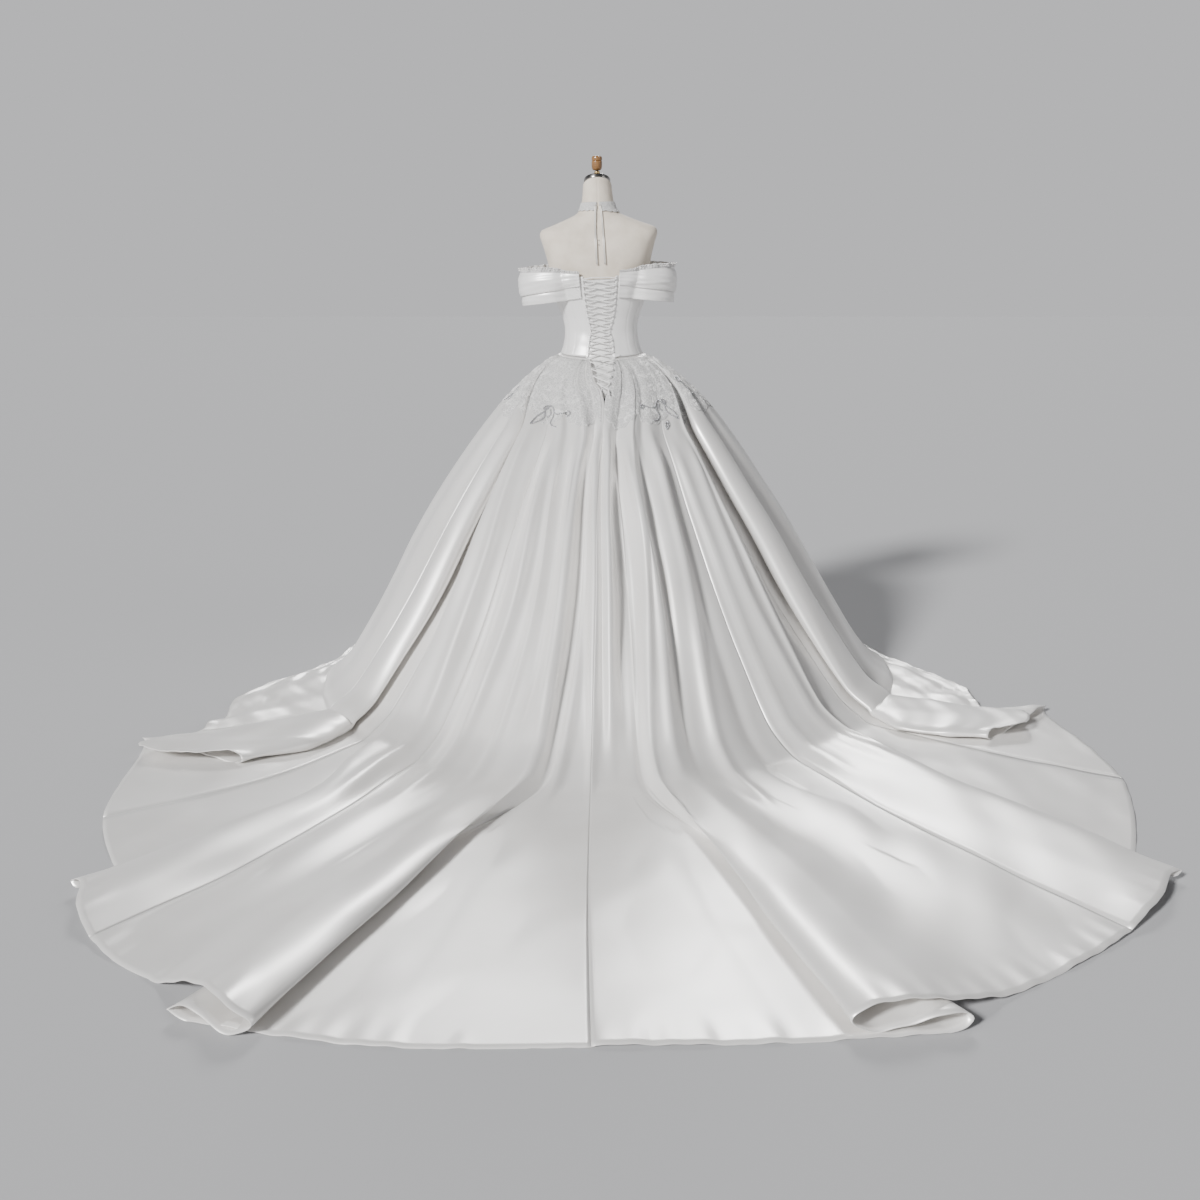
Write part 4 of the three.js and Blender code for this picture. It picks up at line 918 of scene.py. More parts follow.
def along_spline(points, position, closed=False):
    """Centripetal Catmull-Rom through each row of points, at positions along the row."""
    last = points.shape[1] - 1
    i = np.minimum(np.floor(position).astype(int), last - 1)
    s = (position - i)[..., None]

    def pick(index):
        return np.take_along_axis(points, index[..., None], axis=1)

    p0 = pick(np.where(i > 0, i - 1, np.where(closed, last - 1, 0)))
    p1 = pick(i)
    p2 = pick(i + 1)
    p3 = pick(np.where(i + 2 <= last, i + 2, np.where(closed, 1, last)))
    t1 = np.sqrt(np.linalg.norm(p1 - p0, axis=-1, keepdims=True))
    t2 = np.sqrt(np.maximum(np.linalg.norm(p2 - p1, axis=-1, keepdims=True), SHORT_CHORD**2))
    t3 = np.sqrt(np.linalg.norm(p3 - p2, axis=-1, keepdims=True))
    chord = p2 - p1

    def slope(start, middle, end, before, after):
        before_safe = np.maximum(before, SHORT_CHORD)
        after_safe = np.maximum(after, SHORT_CHORD)
        turn = (middle - start) / before_safe + (end - middle) / after_safe
        turn -= (end - start) / (before_safe + after_safe)
        too_short = (before < SHORT_CHORD) | (after < SHORT_CHORD)
        return np.where(too_short, chord, turn * t2)

    m1 = slope(p0, p1, p2, t1, t2)
    m2 = slope(p1, p2, p3, t2, t3)
    ends = p1 * (1 + 2 * s) * (1 - s) ** 2 + p2 * s * s * (3 - 2 * s)
    return ends + m1 * s * (1 - s) ** 2 - m2 * s * s * (1 - s)


# Rows down the skirt: closest at the gathered waist and where it breaks on the floor
ROW_SPANS = [(0, 0.2, 34), (0.2, 0.88, 46), (0.88, 1.16, 24), (1.16, 2, 56)]
row_parts = [np.linspace(span[0], span[1], span[2])[:-1] for span in ROW_SPANS]
SKIRT_DROPS = np.concatenate([*row_parts, [ROW_SPANS[-1][1]]])
SPACING_ROWS = 148
SLIT_DROP = 0.131
TRAIN_ENDS = 30
ON_TRAIN = 1.4
FINE_COLUMN = 8
FINE_PARTS = 40
COLUMN_WIDTH = 20
COLUMN_PARTS = 14
LEAST_PARTS = 3
skirt_lines = [*side_lines(RIGHT_FOLDS, 1), front_line, *side_lines(LEFT_FOLDS, -1)[::-1]]
line_points = np.stack([skirt_points(line, SKIRT_DROPS) for line in skirt_lines], axis=1)
line_spacing = np.linalg.norm(np.diff(line_points, axis=1), axis=-1)
line_azimuth = np.abs([line["azimuth"](ON_TRAIN) for line in skirt_lines])
stops = []
for i, widest in enumerate(line_spacing[:SPACING_ROWS].max(axis=0)):
    on_train = line_azimuth[i] < TRAIN_ENDS and line_azimuth[i + 1] < TRAIN_ENDS
    column_width = FINE_COLUMN if on_train else COLUMN_WIDTH
    most_parts = FINE_PARTS if on_train else COLUMN_PARTS
    parts = int(np.clip(math.ceil(widest / column_width), LEAST_PARTS, most_parts))
    stops += [i + k / parts for k in range(parts)]
stops = np.array([*stops, len(skirt_lines) - 1.0])
comes_round = SKIRT_DROPS >= SLIT_DROP
stop_grid = np.broadcast_to(stops, (len(SKIRT_DROPS), len(stops)))
skirt_grid = along_spline(line_points, stop_grid, comes_round[:, None])
skirt_grid[..., 2] = np.maximum(skirt_grid[..., 2], SOLID_CLOTH / 2)
skirt_azimuth = np.degrees(np.arctan2(skirt_grid[..., 0], -skirt_grid[..., 1]))
skirt_reach = np.hypot(skirt_grid[..., 0], skirt_grid[..., 1])
drop = SKIRT_DROPS[:, None]

# Small creases between the pleats: azimuths from the hip to the hem, half width and height in
# millimetres, and the share of the way down over which each one shows
CREASES = [
    ((-1.4, -0.8, -1.0, -1.2, -0.8), 6, 8.0, 0.14, 1.15),
    ((0.1, 0.7, 0.6, 1.4, 2.2), 5, -7.0, 0.14, 1.0),
    ((2.4, 2.1, 1.8, 3.4, 5.0), 7, 7.0, 0.16, 1.05),
    ((-3.4, -3.2, -5.2, -8.6, -10.6), 7, 6.0, 0.18, 1.2),
    ((-5.4, -5.2, -7.0, -9.8, -11.6), 6, -6.0, 0.22, 1.1),
    ((-9.4, -8.0, -9.0, -12.6, -14.4), 8, 7.0, 0.2, 1.0),
    ((-12.6, -11.0, -12.4, -16.6, -18.4), 8, -6.0, 0.2, 1.0),
    ((-16.6, -13.4, -15.8, -18.4, -20.6), 9, 7.0, 0.2, 1.2),
    ((-20.4, -18.2, -21.4, -22.8, -24.6), 9, 8.0, 0.2, 1.3),
    ((-25.4, -23.2, -25.4, -25.2, -26.6), 10, -7.0, 0.2, 1.2),
    ((-33.6, -29.6, -29.6, -27.2, -28.6), 10, 8.0, 0.16, 1.4),
    ((4.4, 4.6, 4.0, 8.2, 11.2), 7, -7.0, 0.18, 1.0),
    ((3.8, 6.9, 5.6, 7.6, 9.0), 7, 8.0, 0.18, 1.0),
    ((9.8, 12.4, 10.4, 12.2, 13.0), 8, 8.0, 0.18, 1.1),
    ((14.9, 14.8, 13.4, 15.2, 17.0), 7, -6.0, 0.18, 1.1),
    ((22.0, 20.6, 17.8, 19.2, 21.2), 9, 8.0, 0.18, 1.3),
    ((25.6, 24.2, 24.2, 25.2, 26.8), 11, -6.0, 0.2, 1.3),
    ((31.8, 31.4, 32.2, 30.4, 30.8), 10, 6.0, 0.2, 1.3),
    ((38.8, 36.2, 38.4, 36.8, 35.8), 10, 7.0, 0.2, 1.4),
]
CREASE_STATIONS = (0.22, 0.57, 0.98, 1.4, 2)
CREASE_RISE = 1.6
CREASE_WIDEN = 1.1
CREASE_BEGINS_OVER = 0.12
CREASE_ENDS_OVER = 0.25
relief = np.zeros_like(skirt_reach)
for azimuths, half_width, height, begins, ends in CREASES:
    crease_azimuth = curve(CREASE_STATIONS, azimuths)(drop)
    away = np.radians(skirt_azimuth - crease_azimuth) * skirt_reach
    begun = smooth_step((drop - begins) / CREASE_BEGINS_OVER)
    ending = smooth_step((ends - drop) / CREASE_ENDS_OVER)
    widen = half_width * CREASE_WIDEN * (1 + drop)
    relief += CREASE_RISE * height * begun * ending * dip(away, widen)

# Gathers fan out of the waist seam, and the cloth on the floor lies in long shallow swells: each
# swell's share, its waves round the pole, and its turns down the cloth
GATHER_RISE = 0.9
GATHERS_END = 0.3
GATHERS = [(1, 4.1, 0), (0.6, 6.7, 1.3)]
SWELL_FROM = 0.35
SWELL_RISE = 1.6
FLOOR_SWELL_RISE = 3.6
LYING_FLATTENS = 0.25
HEM_KICK = 2.2
HEM_KICK_FROM = 1.9
HEM_RIPPLE = 1.8
HEM_RIPPLES = [(1, 1.9, 0), (0.7, 4.3, 0.8)]
position = np.broadcast_to(stops, relief.shape)


def added_waves(table, place):
    """Several waves along a line added up: the share, length and start of each."""
    return sum(part * np.sin(place * often + start) for part, often, start in table)


gathered = smooth_step(drop / 0.02) * smooth_step((GATHERS_END - drop) / 0.26)
relief += GATHER_RISE * added_waves(GATHERS, position) * gathered
around = np.radians(skirt_azimuth)
swell = np.sin(around * 21 + drop * 5) * np.sin(drop * 9 + skirt_azimuth / 14)
swell += 0.6 * np.sin(around * 37 - drop * 7 + 1.7)
swell += 0.35 * np.sin(around * 58 + drop * 13) * np.sin(drop * 17)
swell_rise = mix(SWELL_RISE, FLOOR_SWELL_RISE, smooth_step(drop - 0.6))
relief += swell_rise * swell * smooth_step((drop - SWELL_FROM) / 0.3)
hem_kick = smooth_step((drop - HEM_KICK_FROM) / (STATIONS[-1] - HEM_KICK_FROM))
relief += hem_kick * (HEM_KICK + HEM_RIPPLE * added_waves(HEM_RIPPLES, skirt_azimuth))
skirt_square = normals_of(skirt_grid, comes_round)
near_floor = SOLID_CLOTH * 3
lying = smooth_step((near_floor - skirt_grid[..., 2]) / near_floor) * (drop > 1)
relief = np.where(lying > 0, np.maximum(relief, 0) * (1 - LYING_FLATTENS * lying), relief)
skirt_grid = lean(skirt_grid + skirt_square * relief[..., None])
skirt_grid[..., 2] = np.maximum(skirt_grid[..., 2], CLOTH / 2)
skirt_square = normals_of(skirt_grid, comes_round)

HIP_DROP = 0.1
hip_row = int(np.searchsorted(SKIRT_DROPS, HIP_DROP))
hip_steps = np.linalg.norm(np.diff(skirt_grid[hip_row], axis=0), axis=-1)
round_hip = np.concatenate([[0], np.cumsum(hip_steps)]) * MM
drop_steps = np.linalg.norm(np.diff(skirt_grid, axis=0), axis=-1).mean(axis=1)
down_skirt = np.concatenate([[0], np.cumsum(drop_steps)]) * MM
skirt_cut = np.stack(np.meshgrid(round_hip, -down_skirt), -1)

# Each gore: its side, the fold line it starts on, and its cut's width, length and area in metres
GORES = [
    ("skirt_train_right", 1, "back_seam", (1.70, 2.62, 1.90)),
    ("skirt_back_right", 1, "back_hollow", (1.15, 2.45, 1.10)),
    ("skirt_side_back_right", 1, "underlay", (0.95, 2.05, 0.85)),
    ("skirt_side_front_right", 1, "side_notch", (0.80, 1.60, 0.80)),
    ("skirt_front", 1, "front_3", (1.75, 1.30, 1.55)),
    ("skirt_side_front_left", -1, "front_3", (0.85, 1.65, 0.86)),
    ("skirt_side_back_left", -1, "side_notch", (1.00, 2.05, 0.92)),
    ("skirt_back_left", -1, "underlay", (0.95, 2.45, 0.92)),
    ("skirt_train_left", -1, "back_hollow", (1.55, 2.62, 1.72)),
]
gore_starts = []
for _, gore_side, gore_line, _ in GORES:
    found = [line["side"] == gore_side and line["name"] == gore_line for line in skirt_lines]
    gore_starts.append(int(np.argmin(np.abs(stops - found.index(True)))))
SKIRT_SHADE = (0.84, 0.82, 0.795)
SKIRT_LIGHT = (0.90, 0.885, 0.865)
skirt_satin = satin_finish("skirt_satin", SKIRT_SHADE, SKIRT_LIGHT, 0.22, 0.32)
BACK_SEAM_SINK = 1.1
BACK_SEAM = {"skirt_train_right": (0, 1), "skirt_train_left": (-1, -2)}
for i, (gore_name, gore_side, gore_line, (cut_wide, cut_long, cut_area)) in enumerate(GORES):
    gore_end = gore_starts[i + 1] if i + 1 < len(GORES) else len(stops) - 1
    piece_of = slice(gore_starts[i], gore_end + 1)
    grid = skirt_grid[:, piece_of].copy()
    square = skirt_square[:, piece_of]
    if gore_name in BACK_SEAM:
        edge, beside = BACK_SEAM[gore_name]
        inward = grid[:, beside] - grid[:, edge]
        inward /= np.maximum(np.linalg.norm(inward, axis=-1, keepdims=True), 1e-9)
        grid[:, edge] += inward * SEAM_GAP / 2 - square[:, edge] * BACK_SEAM_SINK
    gore = cloth_piece(
        gore_name + "_cloth",
        grid,
        skirt_satin,
        square=square,
        cut=skirt_cut[:, piece_of],
        on_floor=True,
    )
    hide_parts(gore_name)


# Modesty panel: a plain satin panel behind the laced opening, sewn to one edge and pulled into
# cross wrinkles by the lace. Below it the slit stays open between the crossings.
WAIST_SEAM = 1039
# The panel's edges: height, left and right
PANEL_EDGES = [
    (940, -12, 28),
    (978, -34, 34),
    (1002, -46, 42),
    (1026, -50, 45),
    (1050, -53, 48),
    (1074, -51, 46),
    (1100, -48, 42),
    (1127, -43, 35),
    (1156, -48, 43),
    (1180, -52, 49),
    (1206, -56, 53),
    (1234, -59, 56),
    (1262, -61, 58),
    (1290, -62, 60),
]
PANEL_ON_FORM = 1.7
PANEL_IN_SLIT = -12
PANEL_BLEND = 60
PANEL_PULL = 0.5
PANEL_PULL_STEP = 3.1
PANEL_THICKNESS = 0.9
panel_left = column_of(PANEL_EDGES, 1)
panel_right = column_of(PANEL_EDGES, 2)


def back_point(x, z, form_out, skirt_out, blend):
    """A point on the gown's back: off the form above the waist seam, off the skirt below it."""
    drop_here = np.maximum(1 - z / (waist_low(0.0) - WAIST_GAP), 0)
    radius, height, square_out, square_up = skirt_base(0.0, drop_here, floor_radius(0.0), 0)
    radius = radius + square_out * skirt_out
    height = height + square_up * skirt_out
    below = np.stack([x, -np.sqrt(np.maximum(radius**2 - x**2, 1)), height], -1)
    above = form_point(angle_at_x(x, z), z, form_out)
    return mix(above, below, smooth_step((WAIST_SEAM - z) / blend)[..., None])


panel_heights = np.linspace(PANEL_EDGES[-1][0], PANEL_EDGES[0][0], 96)
u, z = np.meshgrid(np.linspace(0, 1, 30), panel_heights)
x = mix(panel_left(z), panel_right(z), u)
pulled = PANEL_PULL * np.sin(z / PANEL_PULL_STEP + x / 30) * np.sin(u * math.pi)
panel_grid = lean(back_point(x, z, PANEL_ON_FORM + pulled, PANEL_IN_SLIT, PANEL_BLEND))
modesty = cloth_piece("modesty_panel_cloth", panel_grid, bodice_satin, PANEL_THICKNESS)
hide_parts("modesty_panel")


# Loop strips: narrow satin facings on the opening's edges with a row of fine corded loops, one
# for each turn of the lace, and a small pointed tab where the right one ends at the waist.
STRIP_WIDTH = 7
STRIP_OUT = 6.4
LACE_TOP = 1290
LACE_STEP = 19
LACE_ROWS = 18
LACE_INSET = 3.5
LOOP_RADIUS = 0.9
LOOP_STEP = 1.6
LOOP_SIDES = 6
LOOP_ROWS = 14
LOOPS_END = 8
# One loop: how far from the opening's edge, how high, and how far off the form
LOOP_SHAPE = [(5.5, 6, 7.4), (1, 4.6, 7.9), (-3, 0, 7.6), (1, -4.6, 7.9), (5.5, -6, 7.4)]
STRIP_ROUNDING = 0.25
STRIP_THICKNESS = 0.9


def smooth_path(points, spacing):
    """A cord's own line through its guide points, at even steps."""
    guides = np.asarray(points, float)[None]
    last = guides.shape[1] - 1
    fine = along_spline(guides, np.linspace(0, last, last * 10 + 1)[None])[0]
    steps = np.linalg.norm(np.diff(fine, axis=0), axis=-1)
    travel = np.concatenate([[0], np.cumsum(steps)])
    even = np.linspace(0, travel[-1], max(int(travel[-1] / spacing), 3) + 1)
    return np.stack([np.interp(even, travel, fine[:, k]) for k in range(3)], -1)


STRAND_RELIEF = 0.14


def cord_along(path, radius, sides, twist=0.0):
    """Corners and faces of a round cord, with its strands' twist as a shallow relief."""
    along = np.gradient(path, axis=0)
    along /= np.linalg.norm(along, axis=-1, keepdims=True)
    up = np.array([0.0, -1.0, 0.1])
    turn = np.arange(sides) * 2 * math.pi / sides
    corners = []
    for i, (point, ahead) in enumerate(zip(path, along)):
        up = up - ahead * np.dot(up, ahead)
        up /= np.linalg.norm(up)
        side = np.cross(up, ahead)
        strand = radius * (1 + STRAND_RELIEF * np.cos(2 * turn + i * twist)) if twist else radius
        around = np.cos(turn)[:, None] * side + np.sin(turn)[:, None] * up
        corners.append(point + around * np.reshape(strand, (-1, 1)))
    return np.concatenate(corners), ring_faces(len(path), sides)


def joined(parts):
    """Corners and faces of many small parts as one mesh."""
    faces = []
    count = 0
    for part_corners, part_faces in parts:
        faces += [tuple(corner + count for corner in face) for face in part_faces]
        count += len(part_corners)
    return np.concatenate([part[0] for part in parts]), faces


CORD_SHADE = (0.74, 0.73, 0.71)
CORD_LIGHT = (0.88, 0.87, 0.86)
satin_cord = new_finish("satin_cord", CORD_LIGHT, 0.42)
shader_of(satin_cord).inputs["Sheen Weight"].default_value = 0.3
cord_fibres = noise_on(satin_cord, object_place(satin_cord), Scale=900.0, Detail=3.0)
tone_between(satin_cord, cord_fibres, CORD_SHADE, CORD_LIGHT)
raised_by(satin_cord, cord_fibres, 0.3, 0.0003)

loop_parts = []
for word, side, opening in (("left", -1, opening_left), ("right", 1, opening_right)):
    u, v = np.meshgrid(np.linspace(0, 1, 6), np.linspace(0, 1, 80))
    z = mix(bodice_top(LACE_ANGLE), bodice_low(LACE_ANGLE), v)
    x = opening(z) + side * STRIP_WIDTH * (1 - u if side < 0 else u)
    strip_out = STRIP_OUT + STRIP_ROUNDING * np.sin(u * math.pi)
    strip_grid = lean(form_point(angle_at_x(x, z), z, strip_out))
    strip_name = f"loop_strip_{word}_cloth"
    strip = cloth_piece(strip_name, strip_grid, bodice_satin, STRIP_THICKNESS)
    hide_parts(f"loop_strip_{word}")
    for row in range(LOOP_ROWS):
        row_z = LACE_TOP - row * LACE_STEP
        if row_z < WAIST_SEAM + LOOPS_END:
            continue
        loop = []
        for away, rise, out in LOOP_SHAPE:
            loop_x = opening(row_z + rise) + side * away
            loop.append(form_point(angle_at_x(loop_x, row_z + rise), row_z + rise, out))
        loop_path = smooth_path(lean(np.array(loop)), LOOP_STEP)
        loop_parts.append(cord_along(loop_path, LOOP_RADIUS, LOOP_SIDES))
loop_corners, loop_faces = joined(loop_parts)
loops = add_piece("lace_loops", loop_corners, loop_faces, satin_cord)

TAB_CORNERS = [(36, 1062), (58, 1052), (37, 1043)]
TAB_OUT = 7.6
TAB_CURL = 2.2
u, v = np.meshgrid(np.linspace(0, 1, 8), np.linspace(0, 1, 8))
(tab_x, tab_z), (tip_x, tip_z), (low_x, low_z) = TAB_CORNERS
x = mix(mix(tab_x, low_x, v), mix(tip_x, tip_x - 1.5, v), u)
z = mix(mix(tab_z, low_z, v), mix(tip_z + 1, tip_z - 1, v), u)
tab_grid = lean(form_point(angle_at_x(x, z), z, TAB_OUT + TAB_CURL * u * u))
tab = cloth_piece("waist_tab", tab_grid, bodice_satin, thickness=1)


# Lacing: one long satin cord, crossed from loop to loop down the opening and on into the
# skirt's slit, where its two short ends are tucked. It is drawn tight, so nothing of it hangs.
LACE_AT_EDGE = 10.8
LACE_LOW = 5
LACE_HIGH = 9.8
LACE_OVER_SLIT = 4.5
LACE_END = 14
LACE_RADIUS = 1.8
SEAM_LIFT = 2.4
SEAM_LIFT_REACH = 16
LACE_BLEND = 14
LACE_SPACING = 2.4
LACE_SIDES = 8
LACE_TWIST = 0.9


def lace_edge(row, side):
    """How far across the back the lace turns at one row, just outside the opening's edge."""
    edge_z = LACE_TOP - row * LACE_STEP
    if edge_z > WAIST:
        edge = opening_left(edge_z) if side < 0 else opening_right(edge_z)
    else:
        edge = (-slit_left(edge_z) if side < 0 else slit_right(edge_z)) + slit_middle(edge_z)
    return float(edge) + side * LACE_INSET


def lace_place(x, z, out):
    """A point of the lace over the back, lifted a little where it crosses the waist seam."""
    lift = max(1 - abs(z - WAIST_SEAM) / SEAM_LIFT_REACH, 0) * SEAM_LIFT
    over_slit = out - BODICE_CLEAR + LACE_OVER_SLIT
    return lean(back_point(np.array(x), np.array(float(z)), out + lift, over_slit, LACE_BLEND))


def lace_strand(first_side):
    """Half of the lace, from the top row from side to side down to its end in the slit."""
    points = []
    for row in range(LACE_ROWS):
        side = first_side if row % 2 == 0 else -first_side
        start = lace_edge(row, side)
        end = lace_edge(row + 1, -side)
        z = LACE_TOP - row * LACE_STEP
        over = (row % 2 == 0) == (first_side < 0)
        middle = LACE_HIGH if over else LACE_LOW
        nearly = mix(LACE_AT_EDGE, middle, 0.6)
        stages = [(0, 0, LACE_AT_EDGE), (0.25, 0.27, nearly), (0.5, 0.5, middle)]
        stages.append((0.75, 0.73, nearly))
        for share, fall, out in stages:
            points.append(lace_place(mix(start, end, share), z - LACE_STEP * fall, out))
    z = LACE_TOP - LACE_ROWS * LACE_STEP
    end = lace_edge(LACE_ROWS, first_side)
    points.append(lace_place(end, z, LACE_AT_EDGE))
    points.append(lace_place(end + first_side * 2, z - LACE_END, LACE_AT_EDGE + 1))
    return points


lace_bar = []
for share in (0.25, 0.5, 0.75):
    bar_x = mix(lace_edge(0, -1), lace_edge(0, 1), share)
    lace_bar.append(lace_place(bar_x, LACE_TOP + 5, LACE_LOW + 3))
lace_path = [*lace_strand(-1)[::-1], *lace_bar, *lace_strand(1)]
lace_line = smooth_path(lace_path, LACE_SPACING)
lace_corners, lace_faces = cord_along(lace_line, LACE_RADIUS, LACE_SIDES, LACE_TWIST)
lacing = add_piece("lacing_cord", lace_corners, lace_faces, satin_cord)
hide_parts("lacing")


# Off-shoulder bands: two folded satin bands on each side, sewn in at the laced edge, standing
# free round the arm and meeting at the centre front. The upper one laps over the lower.
# The bands' way round: an angle on the form, or a place free of it as X and Y
BAND_PATH = [
    ("laced edge", 0, 0),
    (31, 0, 0),
    (44, 0, 0),
    ("free", 150, -77),
    ("free", 194, -65),
    ("free", 228, -38),
    ("free", 240, 0),
    ("free", 228, 42),
    ("free", 194, 72),
    ("free", 158, 86),
    (135, 0, 0),
    (150, 0, 0),
    (165, 0, 0),
    ("front", 0, 0),
]
BAND_LOOP = 240
BAND_LEAVES = 150
ARM_LOOP = {-1: 243, 1: 228}
BAND_FROM_OPENING = 10
# The bands' edges: place along the path, the top, the fold between the two, the lower edge
BAND_EDGE = [
    (0, 1308, 1270, 1232),
    (2, 1313, 1262, 1226),
    (4, 1318, 1250, 1216),
    (6, 1318, 1240, 1210),
    (8, 1324, 1246, 1214),
    (10, 1334, 1260, 1220),
    (11.5, 1346, 1266, 1222),
    (13, 1328, 1254, 1216),
]
BAND_LAST = len(BAND_PATH) - 1
UPPER_OUT = 13.8
LOWER_OUT = 9.6
TUCK = 18
PATH_STEP = 0.05
BAND_COLUMNS = 150
BAND_ROWS = 26
UPPER_SWELL = 8
LOWER_SWELL = 2
SWELL_ENDS = 1.5
WELT_SINK = 0.9
WELT_AT = 0.09
WELT_WIDTH = 0.02
PINCH = 3.2
PINCH_PLACE = 3.4
PINCH_LENGTH = 1.6
UPPER_CUT = (0.60, 0.10, 0.045)
LOWER_CUT = (0.58, 0.075, 0.036)
band_top = column_of(BAND_EDGE, 1)
band_fold = column_of(BAND_EDGE, 2)
band_low = column_of(BAND_EDGE, 3)


def band_point(side, at, z, out):
    """A point of a side's bands: how far along the path, how high, and how far out of it."""
    at, z, out = (np.asarray(value, float).ravel() for value in np.broadcast_arrays(at, z, out))
    stretch = (ARM_LOOP[side] - BAND_LEAVES) / (BAND_LOOP - BAND_LEAVES)
    opening = -opening_left(z) if side < 0 else opening_right(z)
    stations = []
    for place, x, y in BAND_PATH:
        if place == "free":
            free_x = np.full_like(z, BAND_LEAVES + (x - BAND_LEAVES) * stretch)
            stations.append(np.stack([free_x, np.full_like(z, y), z], -1))
        elif place == "front":
            front = form_point(180, z)
            front[:, 0] = SEAM_GAP / 2
            stations.append(front)
        elif place == "laced edge":
            stations.append(form_point(angle_at_x(opening + BAND_FROM_OPENING, z), z))
        else:
            stations.append(form_point(place, z))
    stations = np.stack(stations, axis=1)
    here = along_spline(stations, at[:, None])[:, 0]
    ahead = along_spline(stations, np.minimum(at + PATH_STEP, BAND_LAST)[:, None])[:, 0]
    behind = along_spline(stations, np.maximum(at - PATH_STEP, 0)[:, None])[:, 0]
    along = (ahead - behind)[:, :2]
    along /= np.maximum(np.linalg.norm(along, axis=-1, keepdims=True), 1e-9)
    along[at > BAND_LAST - PATH_STEP] = (-1, 0)
    point = np.stack([here[:, 0] + along[:, 1] * out, here[:, 1] - along[:, 0] * out, z], -1)
    point[:, 0] *= side
    return lean(point)


for word, side in (("left", -1), ("right", 1)):
    u, v = np.meshgrid(np.linspace(0, 1, BAND_COLUMNS), np.linspace(0, 1, BAND_ROWS))
    at = (1 - u if side < 0 else u) * BAND_LAST
    swell = smooth_step(at / SWELL_ENDS) * smooth_step((BAND_LAST - at) / SWELL_ENDS)
    rounded = np.sin(v * math.pi) ** 0.7
    welt = -WELT_SINK * dip(v - WELT_AT, WELT_WIDTH)
    drag = 0.8 * np.sin(v * 11 + at * 0.8) * swell + 0.5 * np.sin(v * 23 - at * 1.7 + side)
    pinch = dip(v - 0.86 + 0.05 * at, 0.07) * dip(at - PINCH_PLACE, PINCH_LENGTH)
    z = mix(band_top(at), band_fold(at), v)
    out = UPPER_OUT + UPPER_SWELL * swell * rounded + welt + drag
    out += PINCH * pinch if side > 0 else 0
    upper_grid = band_point(side, at, z, out).reshape(*at.shape, 3)
    upper = cloth_piece(f"sleeve_upper_{word}_cloth", upper_grid, bodice_satin)
    z = mix(band_fold(at) + TUCK, band_low(at), v)
    drag = 0.7 * np.sin(v * 9 - at * 0.9) * swell + 0.4 * np.sin(v * 19 + at * 1.3)
    out = LOWER_OUT + LOWER_SWELL * swell * rounded + drag
    lower_grid = band_point(side, at, z, out).reshape(*at.shape, 3)
    lower = cloth_piece(f"sleeve_lower_{word}_cloth", lower_grid, bodice_satin)
    for band, node_name, band_cut in (
        (upper, f"sleeve_upper_{word}", UPPER_CUT),
        (lower, f"sleeve_lower_{word}", LOWER_CUT),
    ):
        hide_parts(node_name)


# Lace trims: ruffled corded edgings sewn along the upper bands' top edges, flat beside the
# laced opening and standing in waves further out, with small pearls sewn to their scallops.
# How dark the painted shade in the lace's openings is, as a share of the lace's own tone
LACE_HOLE_SHADE = 0.68


def lace_finish(name, tone, scale, depth):
    """Matt corded lace: small blossoms in a net, from two sizes of cell and a fine thread, with
    painted shade in the cells between the cords.
    """
    finish = new_finish(name, tone, 0.78)
    shader = shader_of(finish)
    shader.inputs["Sheen Weight"].default_value = 0.3
    shader.inputs["Specular IOR Level"].default_value = 0.3
    on_cut = node(finish, "ShaderNodeUVMap", uv_map="cut").outputs["UV"]
    blossoms = node(finish, "ShaderNodeTexVoronoi", Scale=scale, Randomness=0.8)
    petals = node(finish, "ShaderNodeTexVoronoi", feature="DISTANCE_TO_EDGE", Scale=scale * 2.6)
    net = node(finish, "ShaderNodeTexVoronoi", feature="DISTANCE_TO_EDGE", Scale=scale * 9)
    for texture in (blossoms, petals, net):
        link(finish, on_cut, texture.inputs["Vector"])
    cord_edge = node(finish, "ShaderNodeMapRange")
    cord_edge.inputs["From Max"].default_value = 0.12
    link(finish, petals.outputs["Distance"], cord_edge.inputs["Value"])
    net_edge = node(finish, "ShaderNodeMapRange")
    net_edge.inputs["From Max"].default_value = 0.2
    link(finish, net.outputs["Distance"], net_edge.inputs["Value"])
    both = node(finish, "ShaderNodeMath", operation="MULTIPLY_ADD")
    both.inputs[1].default_value = -0.5
    link(finish, cord_edge.outputs["Result"], both.inputs[0])
    link(finish, blossoms.outputs["Distance"], both.inputs[2])
    # Painted shade: the cells between the cords are coloured darker, standing in for the shade
    # seen through the lace's openings
    painted_hole_shade = tuple(channel * LACE_HOLE_SHADE for channel in tone)
    tone_between(finish, cord_edge.outputs["Result"], tone, painted_hole_shade, 0.15, 0.85)
    fine = raised_by(finish, net_edge.outputs["Result"], 0.5, depth * 0.4)
    raised_by(finish, both.outputs["Value"], 0.8, depth, over=fine)
    return finish


BEAD_SIDES = 6


def bead(place, radius):
    """Corners and faces of one small round bead."""
    corners = [place + np.array([0, 0, radius])]
    for level in (0.5, -0.5):
        ring = np.arange(BEAD_SIDES) * 2 * math.pi / BEAD_SIDES + level
        wide = radius * math.sqrt(1 - level**2)
        height = np.full(BEAD_SIDES, radius * level)
        corners += list(place + np.stack([np.cos(ring) * wide, np.sin(ring) * wide, height], 1))
    corners.append(place - np.array([0, 0, radius]))
    last = len(corners) - 1
    faces = []
    for k in range(BEAD_SIDES):
        a = 1 + k
        b = 1 + (k + 1) % BEAD_SIDES
        faces += [(0, a, b), (a, a + BEAD_SIDES, b + BEAD_SIDES, b)]
        faces.append((last, b + BEAD_SIDES, a + BEAD_SIDES))
    return np.array(corners), faces


